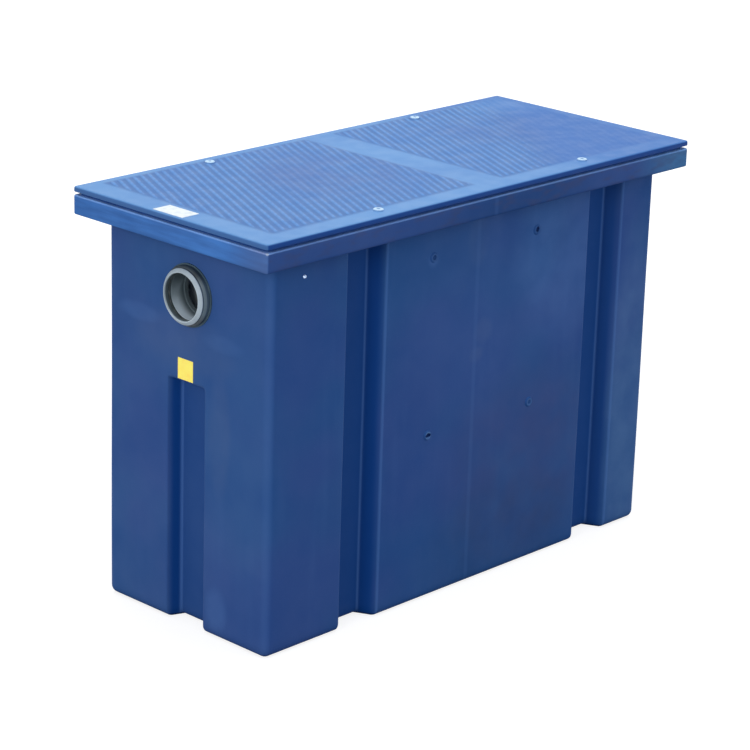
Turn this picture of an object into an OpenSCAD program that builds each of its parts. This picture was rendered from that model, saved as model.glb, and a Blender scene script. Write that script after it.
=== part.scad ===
// Oil separator for surface water: a rotomoulded tank with a box rim, a screwed tread lid, pipe
// sockets with ring seals, two baffles, a coalescer and a closure that a float works.
// Millimetres, +Z up. The origin is on the floor under the rim's centre, and the inlet is at -X.

/* [Tank] */
// Length over the rim
rim_l = 1456; // [1380:2:1600]
// Width over the rim
rim_w = 640; // [600:2:720]
// Height of the rim's top face
rim_top = 983; // [940:1:1060]
// Height of the box rim
rim_h = 42; // [36:1:60]
// How far the rim stands out from the end walls
rim_out_end = 61; // [56:1:72]
// How far the rim stands out from the long walls
rim_out_side = 50; // [48:1:60]
// Thickness of every moulded wall
wall = 8; // [6:0.5:10]
// Radius of the tank's upright corners
corner_r = 20; // [16:1:30]
// Radius of the rim's and the lid's upright corners
rim_corner_r = 7; // [6:0.5:12]
// Radius of the rim's outer edges
rim_edge_r = 4; // [3:0.5:6]
// Radius of the edge round the tank's foot
foot_r = 20; // [12:1:24]

/* [Side recesses] */
// Width of a side recess at the wall's face
recess_w = 128; // [110:1:150]
// Width of a side recess at its floor
recess_floor_w = 84; // [66:1:100]
// Depth of a side recess
recess_depth = 44; // [30:1:50]
// Centre of the first pair, from the inlet wall's face
recess_from_inlet = 303; // [280:1:330]
// Centre of the second pair, from the outlet wall's face
recess_from_outlet = 190; // [150:1:200]
// Radius along a recess's mouth
recess_edge_r = 5; // [4:1:16]
// Radius along a recess's floor
recess_root_r = 6; // [4:1:10]

/* [End recesses] */
// Width of an end recess at the wall's face
end_recess_w = 125; // [110:1:150]
// Width of an end recess at its floor
end_recess_floor_w = 98; // [80:1:106]
// Depth of an end recess
end_recess_depth = 35; // [25:1:42]
// End recess's flat top, below the rim's top face
end_recess_drop = 385; // [360:1:480]

/* [Lid] */
// Thickness of the lid plate
lid_t = 13; // [10:0.5:16]
// Radius of the lid's top edge
lid_edge_r = 5; // [3:0.5:7]
// Thickness of the seal between rim and lid
seal_t = 9; // [6:0.5:12]
// Width of the seal
seal_w = 14; // [10:1:16]
// Seal's outer edge, in from the edge of the rim
seal_inset = 12; // [8:1:14]
// Height of the tread rows
tread_h = 1.6; // [1:0.1:2.5]
// Width of a tread row at its foot
tread_w = 11; // [8:0.5:13]
// Width of a tread row at its crest
tread_crest_w = 4; // [2:0.5:6]
// Distance between tread rows along the lid
tread_pitch = 22.3; // [18:0.1:30]
// Direction of the tread rows, from the lid's length
tread_angle = 63.4; // [50:0.2:75]
// Plain margin at the inlet end
margin_inlet = 63; // [50:1:80]
// Plain margin at the outlet end
margin_outlet = 26; // [20:1:40]
// Plain margin along the front
margin_front = 50; // [20:1:60]
// Plain margin along the back
margin_back = 20; // [16:1:40]
// Start of the plain band between the tread fields, from the inlet end
band_start = 725; // [680:1:760]
// Width of the plain band
band_w = 85; // [60:1:110]

/* [Lid screws] */
// First pair, from the lid's inlet end
screw_from_inlet = 385; // [300:1:450]
// Second pair, from the lid's outlet end
screw_from_outlet = 363; // [300:1:450]
// Screw centres, in from the lid's long edges
screw_inset = 43; // [40:1:44]
// Radius of the screw shanks, also the baffle screws'
screw_r = 5; // [4:0.5:6]
// Radius of the screw head
screw_head_r = 12; // [10:0.5:14]
// Height of the screw head
screw_head_h = 4; // [3:0.5:6]
// Width of the bevel round the screw head
screw_bevel = 1.5; // [0.5:0.25:2]
// Length of the threaded inserts in the rim
insert_h = 22; // [18:1:28]
// Thickness of an insert's wall and of its collar
insert_wall = 3; // [2:0.5:4]
// How far an insert's collar reaches out under the rim's flange
insert_collar = 5; // [3:0.5:6]

/* [Pipe sockets] */
// Outside diameter of the pipes that plug in
pipe_d = 110; // [90:1:116]
// Wall of the pipes
pipe_wall = 3.2; // [2.5:0.1:4]
// Inlet's axis, below the rim's top face
inlet_drop = 174; // [160:1:200]
// Inlet's axis, from the middle of its end towards the front
inlet_aside = 10; // [0:1:20]
// How much lower than the inlet's the outlet's axis is
outlet_drop = 70; // [66:1:90]
// How far a socket stands out from the wall
socket_out = 23; // [20:1:30]
// How far a socket's threaded barrel reaches in from the wall's face
barrel_in = 35; // [32:1:42]
// Thickness of a barrel round its pipe
barrel_wall = 5.7; // [5:0.1:7]
// Thickness of the lip at the mouth
mouth_wall = 9; // [8:0.5:10]
// How far the ring-seal bead stands out from the pipe's surface
bead_wall = 18; // [15:0.5:20]
// Thickness of the bead's wall outside the ring seal
ring_wall = 7; // [6:0.5:8]
// Length of the lip in front of the bead
lip_l = 4; // [3:0.25:5]
// Thickness of the gasket under the bead
gasket_t = 3; // [2:0.5:4]
// How far the gasket shows round the bead
gasket_rim = 1; // [0:0.5:9]
// How far the inlet barrel's plain end reaches past its thread
inlet_tail = 8; // [4:1:12]
// How far the outlet barrel's plain end reaches into the riser's branch
outlet_tail = 34; // [28:1:34]
// Thickness of the lock nut
nut_t = 14; // [10:1:16]
// Width of the lock nut's ring
nut_wall = 11; // [8:0.5:14]
// Height of the lugs round the lock nut
lug_h = 5; // [3:0.5:6]
// Width of the lugs round the lock nut
lug_w = 12; // [8:1:16]

/* [Baffles] */
// First baffle's screws, from the inlet wall's face
baffle_from_inlet = 522; // [500:1:550]
// Second baffle's screws, from the outlet wall's face
baffle_from_outlet = 449; // [430:1:460]
// Baffles' top edge, below the rim's top face
baffle_drop = 98; // [84:1:110]
// Thickness of the baffle sheet
baffle_t = 10; // [8:0.5:12]
// Width of the flanges that the screws hold
flange_w = 40; // [34:1:46]
// Lower baffle screws, below the rim's top face
screw_drop_low = 563; // [540:1:600]
// Upper baffle screws, below the rim's top face
screw_drop_high = 127; // [122:1:150]
// Radius of the baffle screws' heads
baffle_head_r = 13; // [10:0.5:15]
// Height of the baffle screws' heads
baffle_head_h = 3; // [2:0.5:4]
// Thickness of the baffle screws' nuts
baffle_nut_h = 8; // [6:0.5:10]
// How far a baffle screw reaches past its nut
thread_end = 6; // [2:0.5:8]
// Width of the opening in each baffle
opening_w = 300; // [240:5:340]
// Height of the opening in each baffle
opening_h = 120; // [100:5:140]
// Bottom of the first baffle's opening
opening_in_z = 260; // [220:5:280]
// Bottom of the second baffle's opening
opening_out_z = 60; // [50:5:80]

/* [Deflector] */
// Deflector bar, from the inlet wall's face
bar_from_inlet = 103; // [100:1:130]
// Deflector bar, below the rim's top face
bar_drop = 91; // [86:1:106]
// Radius of the deflector bar
bar_r = 10; // [8:0.5:12]
// Thickness of the deflector plate
deflector_t = 5; // [4:0.5:6]
// Width of the deflector plate
deflector_w = 220; // [180:5:260]
// Height of the deflector, from the bar's axis to its lower edge
deflector_h = 271; // [230:1:320]
// Radius of the deflector screws' heads
small_head_r = 4.5; // [4:0.25:6]
// How far the deflector screws reach into the bar
bar_grip = 16; // [12:1:20]

/* [Coalescer] */
// Gap between the coalescer and each baffle's screws
coalescer_gap = 50; // [46:1:60]
// Gap between the coalescer and each long wall
coalescer_side_gap = 54; // [46:1:66]
// Height of the coalescer's lower rail
rail_z = 236; // [200:2:260]
// Height of a rail, and width of the frame's angles
rail_h = 24; // [20:1:28]
// Thickness of the frame's angles
angle_t = 4; // [3:0.5:5]
// Number of corrugated plates
plate_count = 13; // [8:1:14]
// Distance from plate to plate
plate_pitch = 26; // [24:1:28]
// Thickness of a plate
plate_t = 2.5; // [2:0.25:3]
// Height of the corrugations
wave_h = 10; // [8:0.5:12]
// Length of a corrugation
wave_l = 60; // [56:1:62]
// Radius of the spacer rods
rod_r = 4; // [3:0.5:4.5]
// Height of the lifting handle
handle_h = 130; // [100:5:150]
// Radius of the handle's rod
handle_r = 6; // [5:0.5:7]
// Radius of the handle's bends
handle_bend = 40; // [30:1:50]

/* [Outlet riser and closure] */
// Riser's axis, from the outlet wall's face
riser_from_outlet = 147; // [140:1:160]
// Riser's open top, below the rim's top face
riser_drop = 98; // [80:1:118]
// Distance from the riser to the valve seat
seat_from_riser = 130; // [126:1:134]
// Height of the valve body
valve_h = 130; // [110:1:150]
// Width of the valve body
valve_w = 150; // [140:1:160]
// Radius of the valve body's upright corners
valve_corner = 24; // [16:1:30]
// Thickness of the valve body's walls
valve_t = 6; // [4:0.5:8]
// Thickness of the sockets that hold the riser and its branch
riser_socket_t = 5; // [4:0.5:6]
// Depth of the socket that holds the riser
riser_socket_h = 40; // [30:1:50]
// Depth of the socket at the end of the riser's branch
branch_socket_l = 36; // [35:1:40]
// Radius of the opening in the seat
seat_r = 44; // [38:1:46]
// Height of the seat ring
seat_h = 8; // [6:0.5:12]
// Width of the seat ring
seat_wall = 10; // [8:0.5:12]
// Radius of the float
float_r = 48; // [47:0.5:50]
// Height of the float
float_h = 130; // [100:5:160]
// Thickness of the rubber disc under the float
closure_seal_t = 4; // [3:0.5:5]
// How far the float rises
float_travel = 70; // [40:5:90]
// Gap between the float and the cage's bars
cage_gap = 5; // [4:0.5:7]
// Radius of the cage's bars
cage_bar_r = 4; // [3:0.5:5]
// Thickness of the cage's top ring and spokes
cage_t = 6; // [4:0.5:8]
// Height of the cage's hub
hub_h = 12; // [8:1:20]
// Radius of the float's guide rod
guide_r = 6; // [5:0.5:8]
// Depth of the guide rod's seats in float and knob
guide_grip = 18; // [12:1:24]
// Height of the knob on the guide rod
knob_h = 28; // [26:1:36]

/* [Labels] */
// Size of the square label over the inlet recess
inlet_label_w = 50; // [40:1:60]
// How far the square label sits from the end wall's middle
inlet_label_y = 2; // [0:1:12]
// Length of the label on the lid, across the lid
lid_label_l = 96; // [80:1:110]
// How far the lid's label sits from the lid's middle
lid_label_y = 5; // [0:1:10]
// Plain strip on each side of the lid's label
label_edge = 6; // [4:0.5:10]
// Thickness of both labels
label_t = 0.8; // [0.5:0.1:1.5]

/* [Hidden] */

// Running clearance between pieces that slide or plug together
fit = 0.3;
// Overlap that lets a cut run past a face
cut = 2;
// Groove of the ring seal in a socket, measured like the socket
ring_front = -socket_out + 2 * lip_l;
ring_back = -2 * gasket_t;
ring_r = pipe_d / 2 + bead_wall - ring_wall;
// Straight pieces in a quarter turn of a lofted corner
arc_steps = 6;

wall_l = rim_l - 2 * rim_out_end;
wall_w = rim_w - 2 * rim_out_side;
inner_l = wall_l - 2 * wall;
inner_w = wall_w - 2 * wall;
rim_bottom = rim_top - rim_h;
end_recess_top = rim_top - end_recess_drop;
inlet_x = -wall_l / 2;
outlet_x = wall_l / 2;
inlet_z = rim_top - inlet_drop;
outlet_z = inlet_z - outlet_drop;
pipe_r = pipe_d / 2;
barrel_r = pipe_r + barrel_wall;
lid_bottom = rim_top + seal_t;
lid_top = lid_bottom + lid_t;
lid_label_w = margin_inlet - 2 * label_edge;
lid_points = [
    for (y = [-1, 1], x = [-rim_l / 2 + screw_from_inlet, rim_l / 2 - screw_from_outlet])
        [x, y * (rim_w / 2 - screw_inset)]
];
baffle_x = [inlet_x + baffle_from_inlet, outlet_x - baffle_from_outlet];
baffle_top = rim_top - baffle_drop;
baffle_screw_low = rim_top - screw_drop_low;
baffle_screw_high = rim_top - screw_drop_high;
baffle_points = [
    for (side = [-1, 1], x = baffle_x, z = [baffle_screw_low, baffle_screw_high]) [x, side, z]
];
bar_x = inlet_x + bar_from_inlet;
bar_z = rim_top - bar_drop;
coalescer_x = (baffle_x[0] + baffle_x[1]) / 2;
coalescer_l = baffle_x[1] - baffle_x[0] - 2 * coalescer_gap;
coalescer_w = inner_w - 2 * coalescer_side_gap;
plate_zero = rail_z + rail_h;
top_rail_z = plate_zero + plate_count * plate_pitch;
plate_l = coalescer_l - 2 * angle_t - 2 * fit;
plate_w = coalescer_w - 2 * angle_t - 2 * fit;
rod_x = coalescer_l / 2 - rail_h / 2;
rod_y = wave_l * (floor((plate_w / 2 - rail_h) / wave_l - 0.5) + 0.5);
riser_x = outlet_x - riser_from_outlet;
riser_top = rim_top - riser_drop;
seat_x = riser_x - seat_from_riser;
valve_top = wall + valve_h;
seat_top = valve_top + seat_h;
float_foot = seat_top + fit + closure_seal_t;
float_top = float_foot + float_h;
cage_top = float_top + float_travel + 2 * fit;
cage_r = float_r + cage_gap + cage_bar_r;
knob_foot = cage_top + hub_h + fit;

function unit(v) = v / norm(v);

// Points of a rounded corner at b, between the straight runs from a and to c
function corner_arc(a, b, c, r, steps = 4) =
    let (
        u = unit(a - b),
        v = unit(c - b),
        half = acos(u * v) / 2,
        centre = b + unit(u + v) * r / sin(half),
        p = b + u * r / tan(half) - centre,
        q = b + v * r / tan(half) - centre,
        start = atan2(p.y, p.x),
        turn = atan2(q.y, q.x) - start,
        sweep = turn > 180 ? turn - 360 : turn < -180 ? turn + 360 : turn
    )
    [for (i = [0 : steps]) centre + r * [cos(start + sweep * i / steps), sin(start + sweep * i / steps)]];

// Points of a rounded rectangle at height z, anticlockwise
function ring(l, w, r, z) = [
    for (c = [[1, 1, 0], [-1, 1, 90], [-1, -1, 180], [1, -1, 270]], i = [0 : arc_steps])
        let (a = c[2] + 90 * i / arc_steps)
        [c[0] * (l / 2 - r) + r * cos(a), c[1] * (w / 2 - r) + r * sin(a), z]
];

// Levels of a quarter-round edge of radius r that closes a solid at height z, up or down
function edge_levels(l, w, corner, r, z, up) = [
    for (i = up ? [4 : -1 : 0] : [0 : 4])
        let (a = 90 * i / 4, inset = r * (1 - sin(a)), rise = r * (1 - cos(a)))
        [l - 2 * inset, w - 2 * inset, max(corner - inset, 1), z + (up ? -rise : rise)]
];

// Closed solid through rounded rectangles, each given as length, width, corner radius and height
module loft(levels) {
    n = 4 * (arc_steps + 1);
    last = n * (len(levels) - 1);
    polyhedron(
        points = [for (v = levels) each ring(v[0], v[1], v[2], v[3])],
        faces = concat(
            [[for (i = [0 : n - 1]) i]],
            [for (k = [0 : n : last - n], i = [0 : n - 1]) [k + i, k + n + i, k + n + (i + 1) % n]],
            [for (k = [0 : n : last - n], i = [0 : n - 1]) [k + i, k + n + (i + 1) % n, k + (i + 1) % n]],
            [[for (i = [n - 1 : -1 : 0]) last + i]]
        )
    );
}

// Rectangle with round corners, about the origin
module rounded_rect(l, w, r) {
    square([l - 2 * r, w], center = true);
    square([l, w - 2 * r], center = true);
    for (x = [-1, 1], y = [-1, 1])
        translate([x * (l / 2 - r), y * (w / 2 - r)]) circle(r, $fn = 48);
}

module tube(r_out, r_in, h) {
    difference() {
        cylinder(r = r_out, h = h, $fn = 96);
        translate([0, 0, -cut]) cylinder(r = r_in, h = h + 2 * cut, $fn = 96);
    }
}

// Places what is drawn along +Z so that it points into the tank at the inlet or the outlet
module at_inlet() translate([inlet_x, -inlet_aside, inlet_z]) rotate([0, 90, 0]) children();
module at_outlet() translate([outlet_x, 0, outlet_z]) rotate([0, -90, 0]) children();

// Places what is drawn along +Z so that it points into the tank through a long wall's face
module at_side(x, side, z) translate([x, side * wall_w / 2, z]) rotate([side * 90, 0, 0]) children();

// Plan of a recess: x runs along the wall and y into the tank from its outer face.
// grow gives the same recess as the wall's inner face sees it.
module recess(mouth, floor_w, depth, top, grow) {
    lean = atan((mouth - floor_w) / 2 / depth);
    half_mouth = mouth / 2 + grow * (1 - sin(lean)) / cos(lean);
    half_floor = half_mouth - depth * tan(lean);
    far = half_mouth + 2 * recess_edge_r;
    edge_r = max(recess_edge_r - grow, 1);
    root_r = recess_root_r + grow;
    line = [
        [-far, grow], [-half_mouth, grow], [-half_floor, depth + grow],
        [half_floor, depth + grow], [half_mouth, grow], [far, grow]
    ];
    path = [
        for (i = [1 : 4])
            each corner_arc(line[i - 1], line[i], line[i + 1], i % 3 == 1 ? edge_r : root_r)
    ];
    start = path[0];
    translate([0, 0, -cut]) linear_extrude(top + cut)
        polygon(concat([[start.x, grow - wall - cut]], path, [[-start.x, grow - wall - cut]]));
}

module recesses(grow) {
    for (x = [inlet_x + recess_from_inlet, outlet_x - recess_from_outlet], side = [0, 1])
        mirror([0, side, 0]) translate([x, -wall_w / 2, 0])
            recess(recess_w, recess_floor_w, recess_depth, rim_bottom + wall, grow);
    for (end = [0, 1])
        mirror([end, 0, 0]) translate([inlet_x, 0, 0]) rotate([0, 0, -90])
            recess(end_recess_w, end_recess_floor_w, end_recess_depth, end_recess_top + grow, grow);
}

module tank_body() {
    color([0.17, 0.29, 0.51]) difference() {
        union() {
            difference() {
                loft(concat(
                    edge_levels(wall_l, wall_w, corner_r, foot_r, 0, false),
                    [[wall_l, wall_w, corner_r, rim_bottom + wall / 2]]
                ));
                recesses(0);
            }
            loft(concat(
                edge_levels(rim_l, rim_w, rim_corner_r, rim_edge_r, rim_bottom, false),
                edge_levels(rim_l, rim_w, rim_corner_r, rim_edge_r, rim_top, true)
            ));
        }
        difference() {
            loft(concat(
                edge_levels(inner_l, inner_w, corner_r - wall, foot_r - wall, wall, false),
                [[inner_l, inner_w, corner_r - wall, rim_top + cut]]
            ));
            recesses(wall);
        }
        translate([0, 0, rim_bottom + wall]) linear_extrude(rim_h - 2 * wall)
            rounded_rect(rim_l - 2 * wall, rim_w - 2 * wall, rim_corner_r / 2);
        at_inlet() translate([0, 0, -cut]) cylinder(r = barrel_r + 1, h = wall + 2 * cut, $fn = 96);
        at_outlet() translate([0, 0, -cut]) cylinder(r = barrel_r + 1, h = wall + 2 * cut, $fn = 96);
        for (p = lid_points)
            translate([p.x, p.y, rim_top - wall - cut])
                cylinder(r = screw_r + insert_wall + fit, h = wall + 2 * cut, $fn = 48);
        for (p = baffle_points)
            at_side(p.x, p.y, p.z) translate([0, 0, -cut])
                cylinder(r = screw_r + fit, h = wall + 2 * cut, $fn = 48);
        for (side = [-1, 1])
            at_side(bar_x, side, bar_z) translate([0, 0, -cut])
                cylinder(r = small_head_r / 2 + fit, h = wall + 2 * cut, $fn = 48);
    }
}

// Diagonal tread rows that fill a field from x0 to x1
module tread_field(x0, x1) {
    y0 = -rim_w / 2 + margin_front;
    y1 = rim_w / 2 - margin_back;
    lean = (y1 - y0) / 2 / tan(tread_angle);
    rows = floor((x1 - x0 + 2 * lean) / tread_pitch);
    intersection() {
        translate([x0, y0, lid_top - cut]) cube([x1 - x0, y1 - y0, 2 * cut + tread_h]);
        for (k = [0 : rows])
            translate([x0 - lean + k * tread_pitch, (y0 + y1) / 2, lid_top])
                rotate([0, 0, tread_angle]) rotate([90, 0, 90])
                    linear_extrude((y1 - y0) / sin(tread_angle) + 2 * tread_w, center = true)
                        polygon([
                            [-tread_w / 2, -cut / 2], [tread_w / 2, -cut / 2],
                            [tread_crest_w / 2, tread_h], [-tread_crest_w / 2, tread_h]
                        ]);
    }
}

module lid() {
    color([0.47, 0.62, 0.86]) difference() {
        union() {
            loft(concat(
                edge_levels(rim_l, rim_w, rim_corner_r, lid_edge_r / 3, lid_bottom, false),
                edge_levels(rim_l, rim_w, rim_corner_r, lid_edge_r, lid_top, true)
            ));
            tread_field(-rim_l / 2 + margin_inlet, -rim_l / 2 + band_start);
            tread_field(-rim_l / 2 + band_start + band_w, rim_l / 2 - margin_outlet);
        }
        for (p = lid_points) {
            translate([p.x, p.y, lid_bottom - cut])
                cylinder(r = screw_r + 2 * fit, h = lid_t + 2 * cut, $fn = 48);
            translate([p.x, p.y, lid_top]) cylinder(r = screw_head_r + 1, h = 2 * tread_h, $fn = 48);
        }
    }
}

module lid_seal() {
    color([0.1, 0.1, 0.12]) translate([0, 0, rim_top]) linear_extrude(seal_t) difference() {
        rounded_rect(rim_l - 2 * seal_inset, rim_w - 2 * seal_inset, rim_corner_r);
        rounded_rect(rim_l - 2 * (seal_inset + seal_w), rim_w - 2 * (seal_inset + seal_w), rim_corner_r / 3);
    }
}

module lid_screw(i) {
    reach = lid_top - rim_top + insert_h - insert_wall;
    color([0.8, 0.85, 0.88]) translate([lid_points[i].x, lid_points[i].y, lid_top]) difference() {
        union() {
            cylinder(r = screw_head_r, h = screw_head_h - screw_bevel, $fn = 64);
            translate([0, 0, screw_head_h - screw_bevel])
                cylinder(r1 = screw_head_r, r2 = screw_head_r - screw_bevel, h = screw_bevel, $fn = 64);
            translate([0, 0, -reach]) cylinder(r = screw_r, h = reach + screw_head_h / 2, $fn = 64);
        }
        translate([0, 0, screw_head_h / 2]) cylinder(r = screw_r, h = screw_head_h, $fn = 6);
    }
}

// Threaded insert, held under the rim's flange by its own collar
module lid_insert(i) {
    tube_r = screw_r + insert_wall;
    color([0.75, 0.62, 0.3]) translate([lid_points[i].x, lid_points[i].y, rim_top]) difference() {
        union() {
            translate([0, 0, -insert_h]) cylinder(r = tube_r, h = insert_h, $fn = 64);
            translate([0, 0, -wall - insert_wall])
                cylinder(r = tube_r + insert_collar, h = insert_wall, $fn = 64);
        }
        translate([0, 0, -insert_h - cut]) cylinder(r = screw_r + fit, h = insert_h + 2 * cut, $fn = 64);
    }
}

// Ring-seal socket, drawn along +Z from the wall's outer face, with its mouth at -Z
module pipe_socket(tail) {
    mouth_r = pipe_r + mouth_wall;
    bead_r = pipe_r + bead_wall;
    bore_r = pipe_r + fit;
    relief_r = bore_r + 2 * fit;
    land_start = wall + cut;
    stop = barrel_in - pipe_wall;
    lip_end = -socket_out + lip_l;
    color([0.62, 0.68, 0.73]) rotate_extrude($fn = 128) polygon(concat(
        corner_arc([pipe_r, -socket_out], [mouth_r, -socket_out], [mouth_r, lip_end], lip_l / 2),
        [[mouth_r, lip_end]],
        corner_arc([mouth_r, lip_end], [bead_r, lip_end + lip_l], [bead_r, -gasket_t], lip_l),
        [
            [bead_r, -gasket_t], [barrel_r, -gasket_t],
            [barrel_r, barrel_in], [pipe_r, barrel_in],
            [pipe_r, barrel_in + tail], [pipe_r - pipe_wall, barrel_in + tail],
            [pipe_r - pipe_wall, stop], [bore_r, stop],
            [bore_r, land_start], [relief_r, land_start],
            [relief_r, ring_back], [ring_r, ring_back],
            [ring_r, ring_front], [relief_r, ring_front],
            [relief_r, -socket_out + cut], [relief_r + cut, -socket_out]
        ]
    ));
}

// Rubber ring in the socket's groove, its lip pushed back as a pipe would push it
module seal_ring() {
    back = ring_back - fit;
    front = ring_front + fit;
    middle = (front + back) / 2;
    outer = ring_r - fit;
    inner = pipe_r + 2 * fit;
    root = outer - (outer - inner) / 2;
    color([0.08, 0.08, 0.09]) rotate_extrude($fn = 128) polygon([
        [outer, front], [outer, back], [root, back],
        [inner, middle + 1], [inner, middle - 1], [root, front]
    ]);
}

module gasket() color([0.08, 0.08, 0.09]) translate([0, 0, -gasket_t])
    tube(pipe_r + bead_wall + gasket_rim, barrel_r + fit, gasket_t);

module lock_nut() {
    nut_r = barrel_r + nut_wall;
    color([0.45, 0.5, 0.55]) translate([0, 0, wall]) difference() {
        union() {
            cylinder(r = nut_r, h = nut_t, $fn = 96);
            for (a = [0 : 45 : 315])
                rotate([0, 0, a]) translate([nut_r - lug_h, -lug_w / 2, 0]) cube([2 * lug_h, lug_w, nut_t]);
        }
        translate([0, 0, -cut]) cylinder(r = barrel_r + fit, h = nut_t + 2 * cut, $fn = 96);
    }
}

module deflector_bar() {
    length = inner_w - 2 * fit;
    hole_l = bar_grip + cut;
    color([0.7, 0.72, 0.74]) translate([bar_x, length / 2, bar_z]) rotate([90, 0, 0]) difference() {
        cylinder(r = bar_r, h = length, $fn = 64);
        for (z = [-cut, length - hole_l])
            translate([0, 0, z]) cylinder(r = small_head_r / 2 + fit, h = hole_l + cut, $fn = 48);
    }
}

// Plate that turns the incoming water down, hooked over the bar
module inlet_deflector() {
    hook_in = bar_r + fit;
    hook_out = hook_in + deflector_t;
    color([0.25, 0.27, 0.3]) translate([bar_x, deflector_w / 2, bar_z]) rotate([90, 0, 0])
        linear_extrude(deflector_w) {
            difference() {
                circle(hook_out, $fn = 96);
                circle(hook_in, $fn = 96);
                translate([-2 * hook_out, -2 * hook_out]) square([4 * hook_out, 2 * hook_out]);
            }
            translate([-hook_out, -deflector_h]) square([deflector_t, deflector_h]);
            translate([hook_in, -hook_out]) square([deflector_t, hook_out]);
        }
}

module deflector_screw(side) {
    color([0.85, 0.86, 0.88]) at_side(bar_x, side, bar_z) difference() {
        union() {
            translate([0, 0, -small_head_r / 2])
                cylinder(r1 = small_head_r * 2 / 3, r2 = small_head_r, h = small_head_r / 2, $fn = 48);
            cylinder(r = small_head_r / 2, h = wall + fit + bar_grip, $fn = 48);
        }
        translate([0, 0, -small_head_r]) cylinder(r = small_head_r / 3, h = small_head_r, $fn = 6);
    }
}

// Cross wall with side flanges; facing is the side of the screws that its sheet lies on
module baffle(x, facing, open_z) {
    half = inner_w / 2 - fit;
    foot = foot_r;
    color([0.2, 0.3, 0.45]) difference() {
        union() {
            translate([x + facing * (flange_w - baffle_t) / 2, 0, 0]) rotate([90, 0, 90])
                linear_extrude(baffle_t, center = true) polygon([
                    [-half + foot, wall], [half - foot, wall], [half, wall + foot],
                    [half, baffle_top], [-half, baffle_top], [-half, wall + foot]
                ]);
            for (side = [-1, 1])
                translate([x - flange_w / 2, side * (half - baffle_t / 2) - baffle_t / 2, wall + foot])
                    cube([flange_w, baffle_t, baffle_top - wall - foot]);
        }
        translate([x - flange_w, -opening_w / 2, open_z]) cube([2 * flange_w, opening_w, opening_h]);
        for (p = baffle_points)
            at_side(p.x, p.y, p.z) translate([0, 0, wall / 2])
                cylinder(r = screw_r + fit, h = wall + baffle_t + cut, $fn = 48);
    }
}

module baffle_screw(i) {
    p = baffle_points[i];
    reach = wall + fit + baffle_t + baffle_nut_h + thread_end;
    color([0.2, 0.32, 0.55]) at_side(p.x, p.y, p.z) difference() {
        union() {
            translate([0, 0, -baffle_head_h])
                cylinder(r1 = baffle_head_r - baffle_head_h, r2 = baffle_head_r, h = baffle_head_h, $fn = 64);
            cylinder(r = screw_r, h = reach, $fn = 64);
        }
        translate([0, 0, -baffle_head_h - cut])
            cylinder(r = baffle_head_r / 2, h = cut + baffle_head_h * 2 / 3, $fn = 6);
    }
}

module baffle_nut(i) {
    p = baffle_points[i];
    color([0.7, 0.72, 0.74]) at_side(p.x, p.y, p.z) translate([0, 0, wall + fit + baffle_t]) difference() {
        cylinder(r = 2 * screw_r, h = baffle_nut_h, $fn = 6);
        translate([0, 0, -cut]) cylinder(r = screw_r + fit, h = baffle_nut_h + 2 * cut, $fn = 64);
    }
}

// Rectangular rail of upright flat bar, its outside the size of the frame
module rail(z, h, t) {
    translate([0, 0, z]) linear_extrude(h) difference() {
        square([coalescer_l, coalescer_w], center = true);
        square([coalescer_l - 2 * t, coalescer_w - 2 * t], center = true);
    }
}

// Flat strap across the frame, its lower face at height z
module strap(x, z) translate([x - rail_h / 2, -coalescer_w / 2, z]) cube([rail_h, coalescer_w, angle_t]);

module coalescer_frame() {
    color([0.72, 0.74, 0.76]) translate([coalescer_x, 0, 0]) difference() {
        union() {
            for (x = [0, 1], y = [0, 1])
                mirror([x, 0, 0]) mirror([0, y, 0]) translate([-coalescer_l / 2, -coalescer_w / 2, wall])
                    linear_extrude(top_rail_z + rail_h - wall) {
                        square([rail_h, angle_t]);
                        square([angle_t, rail_h]);
                    }
            rail(rail_z, rail_h, angle_t);
            rail(top_rail_z, rail_h, angle_t);
            for (x = [-rod_x, rod_x]) strap(x, plate_zero - angle_t);
            for (x = [-rod_x, 0, rod_x]) strap(x, top_rail_z);
        }
        for (x = [-1, 1], y = [-1, 1])
            translate([x * rod_x, y * rod_y, rail_z])
                cylinder(r = rod_r + fit, h = top_rail_z - rail_z + rail_h, $fn = 48);
    }
}

// Upper face of a corrugated plate: level crests and troughs joined by slopes, troughs at odd half waves
function wave_line(half) = [
    for (k = [-ceil(half / wave_l) : ceil(half / wave_l)], s = [-0.33, -0.17, 0.17, 0.33])
        [(k + s) * wave_l, abs(s) < 0.25 ? wave_h : 0]
];

module corrugated_plate() {
    line = wave_line(plate_w / 2);
    rotate([90, 0, 90]) linear_extrude(plate_l, center = true) intersection() {
        translate([-plate_w / 2, -plate_t]) square([plate_w, wave_h + 2 * plate_t]);
        polygon(concat(line, [for (i = [len(line) - 1 : -1 : 0]) line[i] - [0, plate_t]]));
    }
}

module coalescer_plates() {
    color([0.85, 0.85, 0.82]) translate([coalescer_x, 0, 0]) for (k = [0 : plate_count - 1])
        translate([0, 0, plate_zero + plate_pitch * (k + 0.25) + plate_t]) difference() {
            corrugated_plate();
            for (x = [-1, 1], y = [-1, 1])
                translate([x * rod_x, y * rod_y, -plate_pitch / 2])
                    cylinder(r = rod_r + fit, h = plate_pitch, $fn = 48);
        }
}

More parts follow.
